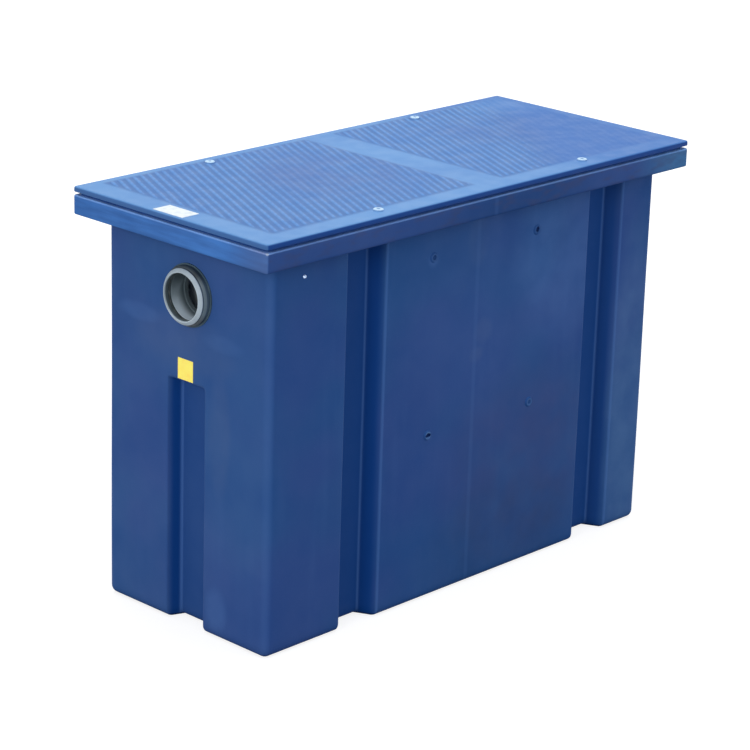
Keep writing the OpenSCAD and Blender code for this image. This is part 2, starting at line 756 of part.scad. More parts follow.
// Rod with a collar under each plate
module spacer_rod(i) {
    collars = [
        for (k = [0 : plate_count - 1])
            each let (z = plate_zero + plate_pitch * (k + 0.25), low = z - plate_pitch / 4)
                [[rod_r, low], [2 * rod_r, low], [2 * rod_r, z], [rod_r, z]]
    ];
    low_end = plate_zero - 3 * angle_t;
    high_end = top_rail_z + 3 * angle_t;
    color([0.3, 0.32, 0.35])
        translate([coalescer_x + (i % 2 == 0 ? -rod_x : rod_x), i < 2 ? -rod_y : rod_y, 0])
            rotate_extrude($fn = 48) polygon(concat(
                [[0, low_end], [rod_r, low_end]], collars, [[rod_r, high_end], [0, high_end]]
            ));
}

// Bent rod that stands on the frame's middle strap
module coalescer_handle() {
    half = coalescer_w / 2 - angle_t - handle_r;
    straight = half - handle_bend;
    color([0.72, 0.74, 0.76]) translate([coalescer_x, 0, top_rail_z + angle_t]) {
        for (side = [0, 1])
            mirror([0, side, 0]) {
                translate([0, half, 0]) cylinder(r = handle_r, h = handle_h - handle_bend, $fn = 48);
                translate([0, straight, handle_h - handle_bend]) rotate([90, 0, 90])
                    rotate_extrude(angle = 90, $fn = 96)
                        translate([handle_bend, 0]) circle(handle_r, $fn = 48);
            }
        translate([0, straight, handle_h]) rotate([90, 0, 0])
            cylinder(r = handle_r, h = 2 * straight, $fn = 48);
    }
}

// Open standpipe with a branch that slips over the outlet socket's plain end
module outlet_riser() {
    branch_r = pipe_r + fit + riser_socket_t;
    branch_l = outlet_x - barrel_in - fit - riser_x;
    color([0.62, 0.68, 0.73]) difference() {
        union() {
            translate([riser_x, 0, valve_top]) cylinder(r = pipe_r, h = riser_top - valve_top, $fn = 96);
            translate([riser_x, 0, outlet_z]) rotate([0, 90, 0])
                cylinder(r = branch_r, h = branch_l, $fn = 96);
        }
        translate([riser_x, 0, valve_top - cut])
            cylinder(r = pipe_r - pipe_wall, h = riser_top - valve_top + 2 * cut, $fn = 96);
        translate([riser_x, 0, outlet_z]) rotate([0, 90, 0])
            cylinder(r = pipe_r - pipe_wall, h = branch_l + cut, $fn = 96);
        translate([riser_x + branch_l - branch_socket_l, 0, outlet_z]) rotate([0, 90, 0])
            cylinder(r = pipe_r + fit, h = branch_socket_l + cut, $fn = 96);
    }
}

// Hollow foot of the riser, with the valve seat on its top
module closure_body() {
    body_l = seat_from_riser + valve_w;
    mid_x = (riser_x + seat_x) / 2;
    color([0.5, 0.55, 0.6]) difference() {
        union() {
            translate([mid_x, 0, wall]) linear_extrude(valve_h) rounded_rect(body_l, valve_w, valve_corner);
            translate([riser_x, 0, valve_top])
                cylinder(r = pipe_r + fit + riser_socket_t, h = riser_socket_h, $fn = 96);
            translate([seat_x, 0, valve_top]) cylinder(r = seat_r + seat_wall, h = seat_h, $fn = 96);
        }
        translate([mid_x, 0, wall + valve_t]) linear_extrude(valve_h - 2 * valve_t)
            rounded_rect(body_l - 2 * valve_t, valve_w - 2 * valve_t, valve_corner - valve_t);
        translate([seat_x, 0, valve_top - valve_t - cut])
            cylinder(r = seat_r, h = valve_t + seat_h + 2 * cut, $fn = 96);
        translate([riser_x, 0, valve_top - valve_t - cut])
            cylinder(r = pipe_r - pipe_wall, h = valve_t + 2 * cut, $fn = 96);
        translate([riser_x, 0, valve_top]) cylinder(r = pipe_r + fit, h = riser_socket_h + cut, $fn = 96);
    }
}

// Basket that guides the float: a foot ring round the seat, four bars, and a top ring with a hub
module closure_cage() {
    foot_in = seat_r + seat_wall + fit;
    foot_out = cage_r + cage_bar_r;
    color([0.5, 0.55, 0.6]) translate([seat_x, 0, 0]) difference() {
        union() {
            translate([0, 0, valve_top]) cylinder(r = foot_out, h = seat_h, $fn = 96);
            for (a = [45 : 90 : 315])
                rotate([0, 0, a]) translate([cage_r, 0, valve_top])
                    cylinder(r = cage_bar_r, h = cage_top - valve_top + cage_t / 2, $fn = 32);
            translate([0, 0, cage_top]) tube(foot_out, float_r - cage_gap, cage_t);
            for (a = [45, 135])
                rotate([0, 0, a]) translate([-cage_r, -cage_bar_r, cage_top])
                    cube([2 * cage_r, 2 * cage_bar_r, cage_t]);
            translate([0, 0, cage_top]) cylinder(r = 2 * guide_r, h = hub_h, $fn = 64);
        }
        translate([0, 0, valve_top - cut]) cylinder(r = foot_in, h = seat_h + 2 * cut, $fn = 96);
        translate([0, 0, cage_top - cut]) cylinder(r = guide_r + fit, h = hub_h + 2 * cut, $fn = 64);
    }
}

module closure_float() {
    bevel = float_r / 4;
    color([0.85, 0.45, 0.15]) translate([seat_x, 0, 0]) difference() {
        rotate_extrude($fn = 96) polygon([
            [0, float_foot], [float_r - bevel / 2, float_foot], [float_r, float_foot + bevel],
            [float_r, float_top - bevel], [float_r - bevel, float_top], [0, float_top]
        ]);
        translate([0, 0, float_top - guide_grip])
            cylinder(r = guide_r + fit / 2, h = guide_grip + cut, $fn = 64);
    }
}

module closure_seal() color([0.08, 0.08, 0.09]) translate([seat_x, 0, seat_top + fit])
    cylinder(r = (seat_r + float_r) / 2, h = closure_seal_t, $fn = 96);

module float_rod() color([0.72, 0.74, 0.76]) translate([seat_x, 0, float_top - guide_grip])
    cylinder(r = guide_r, h = knob_foot + guide_grip - (float_top - guide_grip), $fn = 64);

module float_knob() {
    neck_r = guide_r + 4;
    grip_r = 2.5 * guide_r;
    color([0.15, 0.16, 0.18]) translate([seat_x, 0, knob_foot]) difference() {
        rotate_extrude($fn = 64) polygon([
            [0, 0], [neck_r, 0], [neck_r, knob_h / 4], [grip_r, knob_h / 2],
            [grip_r, knob_h - 4], [grip_r - 4, knob_h], [0, knob_h]
        ]);
        translate([0, 0, -cut]) cylinder(r = guide_r + fit / 2, h = guide_grip + cut, $fn = 64);
    }
}

module inlet_label() color([0.98, 0.9, 0.3])
    translate([inlet_x - label_t, inlet_label_y - inlet_label_w / 2, end_recess_top + label_edge])
        cube([label_t, inlet_label_w, inlet_label_w]);

module lid_label() color([0.93, 0.96, 0.97])
    translate([-rim_l / 2 + label_edge, lid_label_y - lid_label_l / 2, lid_top])
        cube([lid_label_w, lid_label_l, label_t]);

tank_body();
lid();
lid_seal();
for (i = [0 : 3]) {
    lid_screw(i);
    lid_insert(i);
    spacer_rod(i);
}
at_inlet() pipe_socket(inlet_tail);  // inlet_socket
at_inlet() seal_ring();  // inlet_seal_ring
at_inlet() gasket();  // inlet_gasket
at_inlet() lock_nut();  // inlet_lock_nut
at_outlet() pipe_socket(outlet_tail);  // outlet_socket
at_outlet() seal_ring();  // outlet_seal_ring
at_outlet() gasket();  // outlet_gasket
at_outlet() lock_nut();  // outlet_lock_nut
deflector_bar();
inlet_deflector();
deflector_screw(-1);  // deflector_screw_1
deflector_screw(1);  // deflector_screw_2
baffle(baffle_x[0], -1, opening_in_z);  // inlet_baffle
baffle(baffle_x[1], 1, opening_out_z);  // outlet_baffle
for (i = [0 : 7]) {
    baffle_screw(i);
    baffle_nut(i);
}
coalescer_frame();
coalescer_plates();
coalescer_handle();
outlet_riser();
closure_body();
closure_cage();
closure_float();
closure_seal();
float_rod();
float_knob();
inlet_label();
lid_label();
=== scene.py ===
import math

import bpy
import bmesh
import numpy as np
from mathutils import Matrix


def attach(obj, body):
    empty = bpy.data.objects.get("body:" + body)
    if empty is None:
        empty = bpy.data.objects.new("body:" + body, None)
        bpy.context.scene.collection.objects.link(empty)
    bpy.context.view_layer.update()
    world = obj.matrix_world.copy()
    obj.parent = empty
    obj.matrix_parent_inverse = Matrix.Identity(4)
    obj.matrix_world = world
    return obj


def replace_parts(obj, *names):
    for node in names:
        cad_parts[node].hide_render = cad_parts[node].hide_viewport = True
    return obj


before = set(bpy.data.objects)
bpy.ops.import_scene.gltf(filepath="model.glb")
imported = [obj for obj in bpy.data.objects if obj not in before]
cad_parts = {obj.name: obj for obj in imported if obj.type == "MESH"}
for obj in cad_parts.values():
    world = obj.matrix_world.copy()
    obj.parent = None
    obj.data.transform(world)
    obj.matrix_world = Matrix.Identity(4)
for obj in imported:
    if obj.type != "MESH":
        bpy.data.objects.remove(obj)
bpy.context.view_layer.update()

# Tank. One rotomoulded shell of blue polyethylene, 8 mm thick all over, with a hollow box rim,
# two upright recesses in each long wall and one in each end. It comes out of one mould in one
# piece; the two round openings for the sockets are cut afterwards.


class Number:
    """A node's output. Each arithmetic operator on a value, either way round, adds a Math node."""

    def __init__(self, finish, socket):
        self.finish = finish
        self.socket = socket

    def math(self, operation, first, second):
        return self.finish.node("ShaderNodeMath", {"operation": operation}, {0: first, 1: second})

    def __add__(self, other):
        return self.math("ADD", self, other)

    def __radd__(self, other):
        return self.math("ADD", other, self)

    def __sub__(self, other):
        return self.math("SUBTRACT", self, other)

    def __rsub__(self, other):
        return self.math("SUBTRACT", other, self)

    def __mul__(self, other):
        return self.math("MULTIPLY", self, other)

    def __rmul__(self, other):
        return self.math("MULTIPLY", other, self)

    def __truediv__(self, other):
        return self.math("DIVIDE", self, other)

    def __rtruediv__(self, other):
        return self.math("DIVIDE", other, self)

    def __pow__(self, other):
        return self.math("POWER", self, other)

    def __rpow__(self, other):
        return self.math("POWER", other, self)

    def __abs__(self):
        return self.math("ABSOLUTE", self, 0.0)


class Finish:
    """One finish: its node tree, and the one way to put a node into it."""

    def __init__(self, name, owner=None):
        self.material = owner or bpy.data.materials.new(name)
        self.material.use_nodes = True
        self.tree = self.material.node_tree
        self.tree.nodes.clear()
        self.place = self.node("ShaderNodeTexCoord", {}, {}, "Object")
        self.x, self.y, self.z = (
            self.node("ShaderNodeSeparateXYZ", {}, {0: self.place}, axis) for axis in (0, 1, 2)
        )

    def node(self, kind, settings, inputs, output=0):
        """Adds a node: its settings first, then its sockets' values or links.

        It gives one of the node's outputs, or None for the node that ends a tree.
        """
        node = self.tree.nodes.new(kind)
        for name, value in settings.items():
            setattr(node, name, value)
        for key, value in inputs.items():
            if isinstance(value, Number):
                self.tree.links.new(value.socket, node.inputs[key])
            else:
                node.inputs[key].default_value = value
        return Number(self, node.outputs[output]) if node.outputs else None

    def spots(self, size, detail=3.0, stretch=(1, 1, 1)):
        """Noise whose patches are about size metres across, stretched along the axes."""
        scale = tuple(1 / (size * s) for s in stretch)
        place = self.node("ShaderNodeMapping", {"vector_type": "POINT"}, {0: self.place, 3: scale})
        inputs = {"Vector": place, "Scale": 1.0, "Detail": detail}
        return self.node("ShaderNodeTexNoise", {}, inputs)

    def ease(self, value, low, high, start=0.0, end=1.0):
        """Goes smoothly from start, where value is low or less, to end, where it reaches high."""
        return self.node(
            "ShaderNodeMapRange",
            {"interpolation_type": "SMOOTHSTEP"},
            {0: value, 1: low, 2: high, 3: start, 4: end},
        )

    def fall(self, value, low, high, start=1.0):
        """Goes smoothly from start, where value is low or less, to 0, where it reaches high."""
        return self.ease(value, low, high, start, 0.0)

    def apart(self, *parts):
        """Length of the vector with these parts: the root of the sum of their squares."""
        total = parts[0] ** 2.0
        for part in parts[1:]:
            total = total + part ** 2.0
        return total ** 0.5

    def near(self, x, y, z, low, high):
        """1 nearer than low to a point, 0 farther than high. None leaves its axis out."""
        axes = (self.x, x), (self.y, y), (self.z, z)
        parts = [axis - at for axis, at in axes if at is not None]
        return self.fall(self.apart(*parts), low, high)

    def oval(self, x, y, z, wide, high):
        """1 in the middle of a soft oval on a wall, 0 outside it, wide and high in metres.

        It lies along X on a wall that has None for y, and along Y where x is None.
        """
        across = self.x - x if y is None else self.y - y
        total = (across / (wide / 2)) ** 2.0 + ((self.z - z) / (high / 2)) ** 2.0
        return self.fall(total, 0.1, 1.0)

    def mix(self, factor, first, second):
        """Colour between first and second."""
        return self.node(
            "ShaderNodeMix", {"data_type": "RGBA"}, {0: factor, 6: first, 7: second}, 2
        )

    def cover(self, colour, *layers):
        """Colour under layers, the lowest first. Each layer is its share and its tint."""
        for share, tint in layers:
            colour = self.mix(share, colour, tint)
        return colour

    def most(self, first, second):
        """The greater of two values."""
        return self.node("ShaderNodeMath", {"operation": "MAXIMUM"}, {0: first, 1: second})

    def bump(self, height, depth, before=None):
        """Normal that follows height, which is depth metres high where it is 1."""
        inputs = {"Strength": 1.0, "Distance": depth, "Height": height}
        if before:
            inputs["Normal"] = before
        return self.node("ShaderNodeBump", {}, inputs)

    def surface(self, **inputs):
        """Ends the tree in one Principled shader with these sockets."""
        named = {key.replace("_", " "): value for key, value in inputs.items()}
        shader = self.node("ShaderNodeBsdfPrincipled", {}, named)
        self.node("ShaderNodeOutputMaterial", {}, {0: shader})
        return self.material


def rounded(line, radii, steps=6):
    """An open line with its inner corners rounded.

    Each corner becomes an arc of its own radius that touches both runs: its centre lies on the
    corner's bisector, radius / sin(half angle) away, and its points turn evenly round that centre.
    """
    line = np.asarray(line, float)
    here = line[1:-1]
    back, ahead = line[:-2] - here, line[2:] - here
    back /= np.linalg.norm(back, axis=1)[:, None]
    ahead /= np.linalg.norm(ahead, axis=1)[:, None]
    half = np.arccos(np.clip((back * ahead).sum(1), -1, 1)) / 2
    bisector = back + ahead
    bisector /= np.linalg.norm(bisector, axis=1)[:, None]
    radii = np.broadcast_to(np.asarray(radii, float), half.shape)
    centre = here + bisector * (radii / np.sin(half))[:, None]
    first = here + back * (radii / np.tan(half))[:, None] - centre
    side = -np.sign(back[:, 0] * ahead[:, 1] - back[:, 1] * ahead[:, 0])
    turn = (side * (np.pi - 2 * half))[:, None] * np.linspace(0, 1, steps + 1)
    x = first[:, :1] * np.cos(turn) - first[:, 1:] * np.sin(turn)
    y = first[:, :1] * np.sin(turn) + first[:, 1:] * np.cos(turn)
    arcs = np.stack([x, y], -1) + centre[:, None]
    return np.concatenate([line[:1], arcs.reshape(-1, 2), line[-1:]])


def grid_faces(rows, columns, wrap_rows=False, wrap_columns=True):
    """Quads of a grid of rows x columns points, numbered row by row, wrapped round if asked."""
    row = np.arange(rows if wrap_rows else rows - 1)
    column = np.arange(columns if wrap_columns else columns - 1)
    row, column = np.meshgrid(row * columns, column, indexing="ij")
    next_row, next_column = (row + columns) % (rows * columns), (column + 1) % columns
    corners = [row + column, row + next_column, next_row + next_column, next_row + column]
    return np.stack(corners, -1).reshape(-1, 4)


def make_piece(name, points, faces, material, body="tank", sharp=32):
    """A piece from points in metres. Points that meet are merged and faces turned outwards."""
    mesh = bpy.data.meshes.new(name)
    faces = faces.tolist() if isinstance(faces, np.ndarray) else faces
    mesh.from_pydata(np.asarray(points).reshape(-1, 3).tolist(), [], faces)
    shell = bmesh.new()
    shell.from_mesh(mesh)
    bmesh.ops.remove_doubles(shell, verts=shell.verts, dist=1e-6)
    bmesh.ops.recalc_face_normals(shell, faces=shell.faces)
    shell.to_mesh(mesh)
    shell.free()
    mesh.polygons.foreach_set("use_smooth", np.ones(len(mesh.polygons), bool))
    mesh.set_sharp_from_angle(angle=math.radians(sharp))
    mesh.materials.append(material)
    piece = bpy.data.objects.new(name, mesh)
    bpy.context.scene.collection.objects.link(piece)
    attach(piece, body)
    return piece


# The wall's plan, its thickness, and the radii of its upright corners and its foot
wall_l, wall_w = 1.334, 0.540
wall_size = np.array([wall_l, wall_w])
end_x, side_y = wall_l / 2, wall_w / 2
wall = 0.008
corner = 0.020
foot = 0.020

# The rim: how far it stands out at the ends and sides, its heights and its radii
rim_out = np.array([0.061, 0.050])
rim_under, rim_top = 0.9385, 0.985
rim_corner, rim_edge = 0.007, 0.004
hollow_corner, mouth_corner = 0.004, 0.012

# Each recess: its middle along the wall, the widths of its mouth and its floor, and its depth
side_recess_depth, end_recess_depth = 0.044, 0.035
side_recesses = [(x, 0.128, 0.084, side_recess_depth) for x in (-0.364, 0.477)]
end_recesses = [(0.0, 0.125, 0.098, end_recess_depth)]
mouth_edge, floor_edge = 0.005, 0.006
end_recess_top = 0.598
ledge_low, ledge_high = end_recess_top - 0.006, end_recess_top + 0.002

# The sockets' holes, and the windows in the wall's grid that are cut out round them
hole_r = 0.0617
inlet_y, inlet_z = -0.010, 0.809
outlet_y, outlet_z = 0.0, 0.739
window_half_h = 0.080
window_sides = (-0.090, 0.080)
window_middles = (-window_half_h / 2, window_half_h / 2)

# The grid: distance of its even columns, and how clear they stay of a recess's own columns
column_step, column_clear = 0.007, 0.004


def side_columns(half, recesses, stops):
    """Places along one wall, and how deep the wall stands back at each of them.

    The depth follows a trapezoid per recess, rounded at the edges of its mouth and its floor.
    """
    line = [(-half, 0.0)]
    radii = []
    for centre, mouth, floor, depth in recesses:
        line += [
            (centre - mouth / 2, 0.0), (centre - floor / 2, depth),
            (centre + floor / 2, depth), (centre + mouth / 2, 0.0),
        ]
        radii += [mouth_edge, floor_edge, floor_edge, mouth_edge]
    line = rounded(line + [(half, 0.0)], radii, 7)
    even = np.linspace(-half, half, int(half / column_step))
    clear = np.abs(even[:, None] - line[1:-1, 0]).min(1) > column_clear
    along = np.unique(np.concatenate([line[:, 0], even[clear], stops]).round(6))
    return along, np.interp(along, line[:, 0], line[:, 1])


def plan_of_tank():
    """Columns round the tank, seen from above and anticlockwise.

    Gives, for each column, its corner point in units of the straight half sides, the direction
    that the wall faces, its depth in a side recess and its depth in an end recess.
    """
    half = wall_size / 2 - corner
    turn = np.linspace(0, np.pi / 2, 9)[1:-1]
    side, side_depth = side_columns(half[0], side_recesses, [])
    end, end_depth = side_columns(half[1], end_recesses, [*window_sides, *window_middles])
    places, normals, in_side, in_end = [], [], [], []
    for k, (along, depth) in enumerate([(side, side_depth), (end, end_depth)] * 2):
        if k > 1:
            along, depth = along[::-1], depth[::-1]
        share = along / half[k % 2]
        fixed = np.full_like(share, (-1, 1, 1, -1)[k])
        places.append(np.stack([share, fixed] if k % 2 == 0 else [fixed, share], 1))
        facing = [(0, -1), (1, 0), (0, 1), (-1, 0)][k]
        normals.append(np.tile(facing, (len(along), 1)).astype(float))
        in_side.append(depth if k % 2 == 0 else 0 * depth)
        in_end.append(depth if k % 2 == 1 else 0 * depth)
        start = (k - 1) * np.pi / 2
        normals.append(np.stack([np.cos(start + turn), np.sin(start + turn)], 1))
        bend = [(1, -1), (1, 1), (-1, 1), (-1, -1)][k]
        places.append(np.tile(bend, (len(turn), 1)).astype(float))
        in_side.append(0 * turn)
        in_end.append(0 * turn)
    return [np.concatenate(part) for part in (places, normals, in_side, in_end)]


places, normals, in_side, in_end = plan_of_tank()


def outline(out, radius):
    """The plan's points on a rounded rectangle that stands out from the wall by out."""
    return places * (wall_size / 2 + out - radius) + radius * normals


# The wall's full plan with every recess, and the same plan one wall thickness farther in
full = outline(0, corner) - normals * (in_side + in_end)[:, None]
ahead, behind = np.roll(full, -1, 0) - full, full - np.roll(full, 1, 0)
across = ahead / np.linalg.norm(ahead, axis=1)[:, None]
across += behind / np.linalg.norm(behind, axis=1)[:, None]
across /= np.linalg.norm(across, axis=1)[:, None]
full_normal = np.stack([across[:, 1], -across[:, 0]], 1)
inside = full - wall * full_normal
column_length = np.concatenate([[0], np.cumsum(np.linalg.norm(np.diff(full, axis=0), axis=1))])


def end_share(z):
    """1 below the end recess's top, 0 above it: a sloping ledge with rounded edges."""
    line = rounded(
        [(0, end_recess_depth), (ledge_low, end_recess_depth), (ledge_high, 0), (1, 0)],
        [0.006, 0.008],
    )
    return np.interp(z, line[:, 0], line[:, 1]) / end_recess_depth


def wave(z):
    """Slow unevenness of the moulded wall along the plan at height z, up to 0.8 mm.

    It is a product of two sines, one along the plan and one up the wall, with a third sine that
    slants across both. It fades out as the root of a half sine towards the foot and the rim.
    """
    s = column_length
    swell = np.sin(s * 9.1 + 1.3) * np.sin(z * 6.3 + 0.4) + 0.6 * np.sin(s * 17.0 + z * 5.0)
    return 0.0005 * swell * math.sin(math.pi * min(max(z / 0.93, 0), 1)) ** 0.5


def at_height(plan, z):
    """The plan's points at height z."""
    return np.column_stack([plan, np.full(len(plan), z)])


def outer_row(z, inset=0.0, out=0.0):
    """One row of the outer skin: the wall's plan, drawn in at the foot or out at the rim."""
    flat = outline(out - inset, max(corner - inset, 0.001))
    depth = in_side + in_end * end_share(z)
    return at_height(flat - normals * depth[:, None] + normals * wave(z)[:, None], z)


def inner_row(z, inset=0.0):
    """One row of the inner skin, which runs one wall thickness behind the outer one."""
    flat = outline(-wall - inset, max(corner - wall - inset, 0.001))
    share = np.where(in_end > 0, end_share(z - wall), 1.0)[:, None]
    return at_height(flat * (1 - share) + (inside - inset * full_normal) * share, z)


def rim_row(out, z, radius):
    """One row of the box rim, which follows a plain rounded rectangle."""
    return at_height(outline(out, radius), z)


def drawn_in(edge, half, share):
    """A row moved a share of the way to a line along the middle that runs from -half to half."""
    line = np.column_stack([np.clip(edge[:, 0], -half, half), 0 * edge[:, 1], edge[:, 2]])
    return edge * (1 - share) + line * share


def quarter_round(radius):
    """A quarter round from face to face: r (1 - sin a) and r (1 - cos a) for a from 0 to 90."""
    turn = np.radians(np.linspace(0, 90, 7))
    return [(radius * (1 - math.sin(a)), radius * (1 - math.cos(a))) for a in turn]


window_levels = [axis + step for axis in (inlet_z, outlet_z)
                 for step in (-window_half_h, *window_middles, window_half_h)]
ledge_steps = [-0.016, -0.010, -0.007, -0.004, -0.001, 0.002, 0.005, 0.010, 0.018]
ledge = end_recess_top + np.array(ledge_steps)
levels = np.unique(np.concatenate([np.linspace(0.04, 0.92, 27), ledge, window_levels]).round(6))
floor_line = 0.48

# Up the outer skin, out under the rim, round the rim and its hollow, and down the inner skin
rows = [drawn_in(outer_row(0, foot), floor_line, share) for share in (1, 0.66, 0.33)]
rows += [outer_row(z, inset) for inset, z in quarter_round(foot)]
first_level = len(rows)
rows += [outer_row(z) for z in levels]
for drop, out in ((0.006, 0), (0.002, 0.001), (0, 0.004)):
    rows.append(outer_row(rim_under - drop, out=out))
for inset, rise in quarter_round(rim_edge):
    rows.append(rim_row(rim_out - inset, rim_under + rise, rim_corner - inset))
rows += [rim_row(rim_out, z, rim_corner) for z in (0.955, 0.969)]
for drop, inset in quarter_round(rim_edge):
    rows.append(rim_row(rim_out - inset, rim_top - drop, rim_corner - inset))
for out, z in ((0.02, rim_top), (-wall, rim_top), (-wall, rim_top - wall)):
    rows.append(rim_row(out, z, mouth_corner))
for z in (rim_top - wall, rim_under + wall):
    rows.append(rim_row(rim_out - wall, z, hollow_corner))
inner_levels = np.unique(np.concatenate([levels, ledge + wall]).round(6))[::-1]
rows.append(inner_row(rim_under + wall))
first_inner = len(rows)
rows += [inner_row(z) for z in inner_levels]
rows += [inner_row(wall + rise, inset) for rise, inset in quarter_round(wall)]
rows += [drawn_in(inner_row(wall, wall), floor_line, share) for share in (0.33, 0.66, 1)]

shell_points = np.array(rows)
row_count, column_count = shell_points.shape[:2]
shell_faces = grid_faces(row_count, column_count)
shell_points = shell_points.reshape(-1, 3)


def socket_opening(points, faces, side, beside, axis):
    """Cuts a round opening through both skins of an end wall. Gives the new points and faces.

    The quads in a window are dropped. Loops of points then run from the window's edge to the
    circle on the outer skin, through the wall, and back to the window on the inner skin.
    """
    spare = 0.0005
    size = window_half_h + spare
    low, high = window_sides[0] - spare, window_sides[1] + spare
    centre = points[faces].mean(1)
    hit = (centre[:, 1] > low) & (centre[:, 1] < high) & (np.abs(centre[:, 2] - axis) < size)
    hit &= np.abs(side * centre[:, 0] - (end_x - wall / 2)) < 0.010
    edge = outline(0, corner)
    on_end = (side * edge[:, 0] > end_x - 0.0001) & (edge[:, 1] > low) & (edge[:, 1] < high)
    columns = np.flatnonzero(on_end)
    columns = columns[np.argsort(edge[columns, 1])]
    outer_rows = first_level + np.flatnonzero(np.abs(levels - axis) < size)
    inner_rows = first_inner + np.flatnonzero(np.abs(inner_levels - axis) < size)[::-1]
    loops = []
    for skin_rows in (outer_rows, inner_rows):
        table = skin_rows[:, None] * column_count + columns
        sides = table[0], table[1:, -1], table[-1, -2::-1], table[-2:0:-1, 0]
        loops.append(np.concatenate(sides))
    middle = np.array([0, beside, axis])
    new = []
    for loop, x, shares in ((loops[0], end_x, (0.5, 1)), (loops[1], end_x - wall, (1, 0.5))):
        square = points[loop]
        ray = (square - middle) * [0, 1, 1]
        ray /= np.linalg.norm(ray, axis=1)[:, None]
        circle = middle + hole_r * ray + [side * x, 0, 0]
        new += [square * (1 - share) + circle * share for share in shares]
    count = len(loops[0])
    numbers = len(points) + np.arange(len(new) * count).reshape(-1, count)
    strip = np.concatenate([loops[0][None], numbers, loops[1][None]])
    strip_faces = strip.reshape(-1)[grid_faces(len(strip), count)]
    return np.concatenate([points] + new), np.concatenate([faces[~hit], strip_faces])


for opening in ((-1, inlet_y, inlet_z), (1, outlet_y, outlet_z)):
    shell_points, shell_faces = socket_opening(shell_points, shell_faces, *opening)

# Between which distances from the middle the faces' blues come up on the long walls' faces, on
# the end walls' faces and on the rim's ends: copies of one plastic, painted lighter or darker by
# how the light falls
at_side, at_end, at_rim_end = (0.248, 0.268), (0.648, 0.665), (0.7225, 0.7265)

# Blues of the faces, from the shaded recesses out to the rim: copies of one plastic, lighter or
# darker as painted light and shade. The deep and flank blues are painted shade in the recesses,
# the end blues are lighter where more light falls, and the rim's end blue is painted light
deep_blue = (0.009, 0.063, 0.258, 1)
flank_shade_blue = (0.001, 0.048, 0.235, 1)
shade_blue = (0.002, 0.014, 0.070, 1)
side_blue = (0.024, 0.084, 0.276, 1)
end_blue = (0.043, 0.112, 0.320, 1)
end_floor_light_blue = (0.026, 0.086, 0.285, 1)
rim_side_blue = (0.032, 0.082, 0.272, 1)
rim_middle_blue = (0.012, 0.055, 0.190, 1)
rim_outlet_blue = (0.072, 0.225, 0.460, 1)
rim_end_light_blue = (0.072, 0.238, 0.650, 1)

# What sun, mud and handling have added, and the colours of painted shade and painted highlights
teal_blue = (0.006, 0.100, 0.300, 1)
violet_blue = (0.040, 0.068, 0.290, 1)
# Milky weathering, used as well for the painted highlights on edges and creases
milk_and_highlight_blue = (0.100, 0.230, 0.560, 1)
# Painted highlight for the rim's top edge
top_edge_highlight_blue = (0.230, 0.430, 0.860, 1)
washed_blue = (0.120, 0.245, 0.480, 1)
dusk_blue = (0.047, 0.072, 0.222, 1)
# Painted shade for the lowest part of the front wall
foot_shade_blue = (0.012, 0.046, 0.135, 1)
rubbed_blue = (0.104, 0.153, 0.325, 1)
# Painted highlights at the rim's near corner and along the top edge beside it
highlight_violet = (0.26, 0.29, 0.50, 1)
corner_highlight_blue = (0.42, 0.52, 0.70, 1)
mud_brown = (0.060, 0.060, 0.120, 1)
haze_grey = (0.102, 0.160, 0.325, 1)

# Stains, and painted shade low on the front wall: the place of the middle, the width, the height,
# the share and the tint. Those with None for x lie on the inlet end, those with None for y on the
# front wall.
stains = (
    (None, 0.000, 0.690, 0.40, 0.17, 0.30, haze_grey),
    (None, 0.160, 0.732, 0.17, 0.055, 0.26, milk_and_highlight_blue),
    (None, -0.120, 0.718, 0.16, 0.050, 0.24, milk_and_highlight_blue),
    (None, -0.112, 0.500, 0.09, 0.36, 0.26, haze_grey),
    (None, -0.105, 0.070, 0.09, 0.14, 0.30, milk_and_highlight_blue),
    (0.010, None, 0.870, 0.09, 0.16, 0.22, haze_grey),
    (0.040, None, 0.640, 0.08, 0.08, 0.22, haze_grey),
    (0.016, None, 0.585, 0.06, 0.05, 0.22, haze_grey),
    (0.210, None, 0.270, 0.70, 0.62, 0.65, dusk_blue),
    (0.610, None, 0.300, 0.22, 1.20, 0.42, washed_blue),
    (0.290, None, 0.105, 0.16, 0.08, 0.12, mud_brown),
    (0.330, None, 0.780, 0.44, 0.50, 0.26, milk_and_highlight_blue),
    # Painted shade low on the front wall
    (0.140, None, 0.090, 0.70, 0.36, 0.34, foot_shade_blue),
    (0.080, None, 0.700, 0.80, 0.60, 0.10, milk_and_highlight_blue),
)

# Painted highlights, pale upright lines on the edges of the side recesses: x, how far in, and share
edge_highlights = (
    (-0.300, 0.001, 0.30), (0.541, 0.001, 0.30), (-0.428, 0.001, 0.10), (0.413, 0.001, 0.10),
    (-0.322, side_recess_depth, 0.35), (0.519, side_recess_depth, 0.35),
)


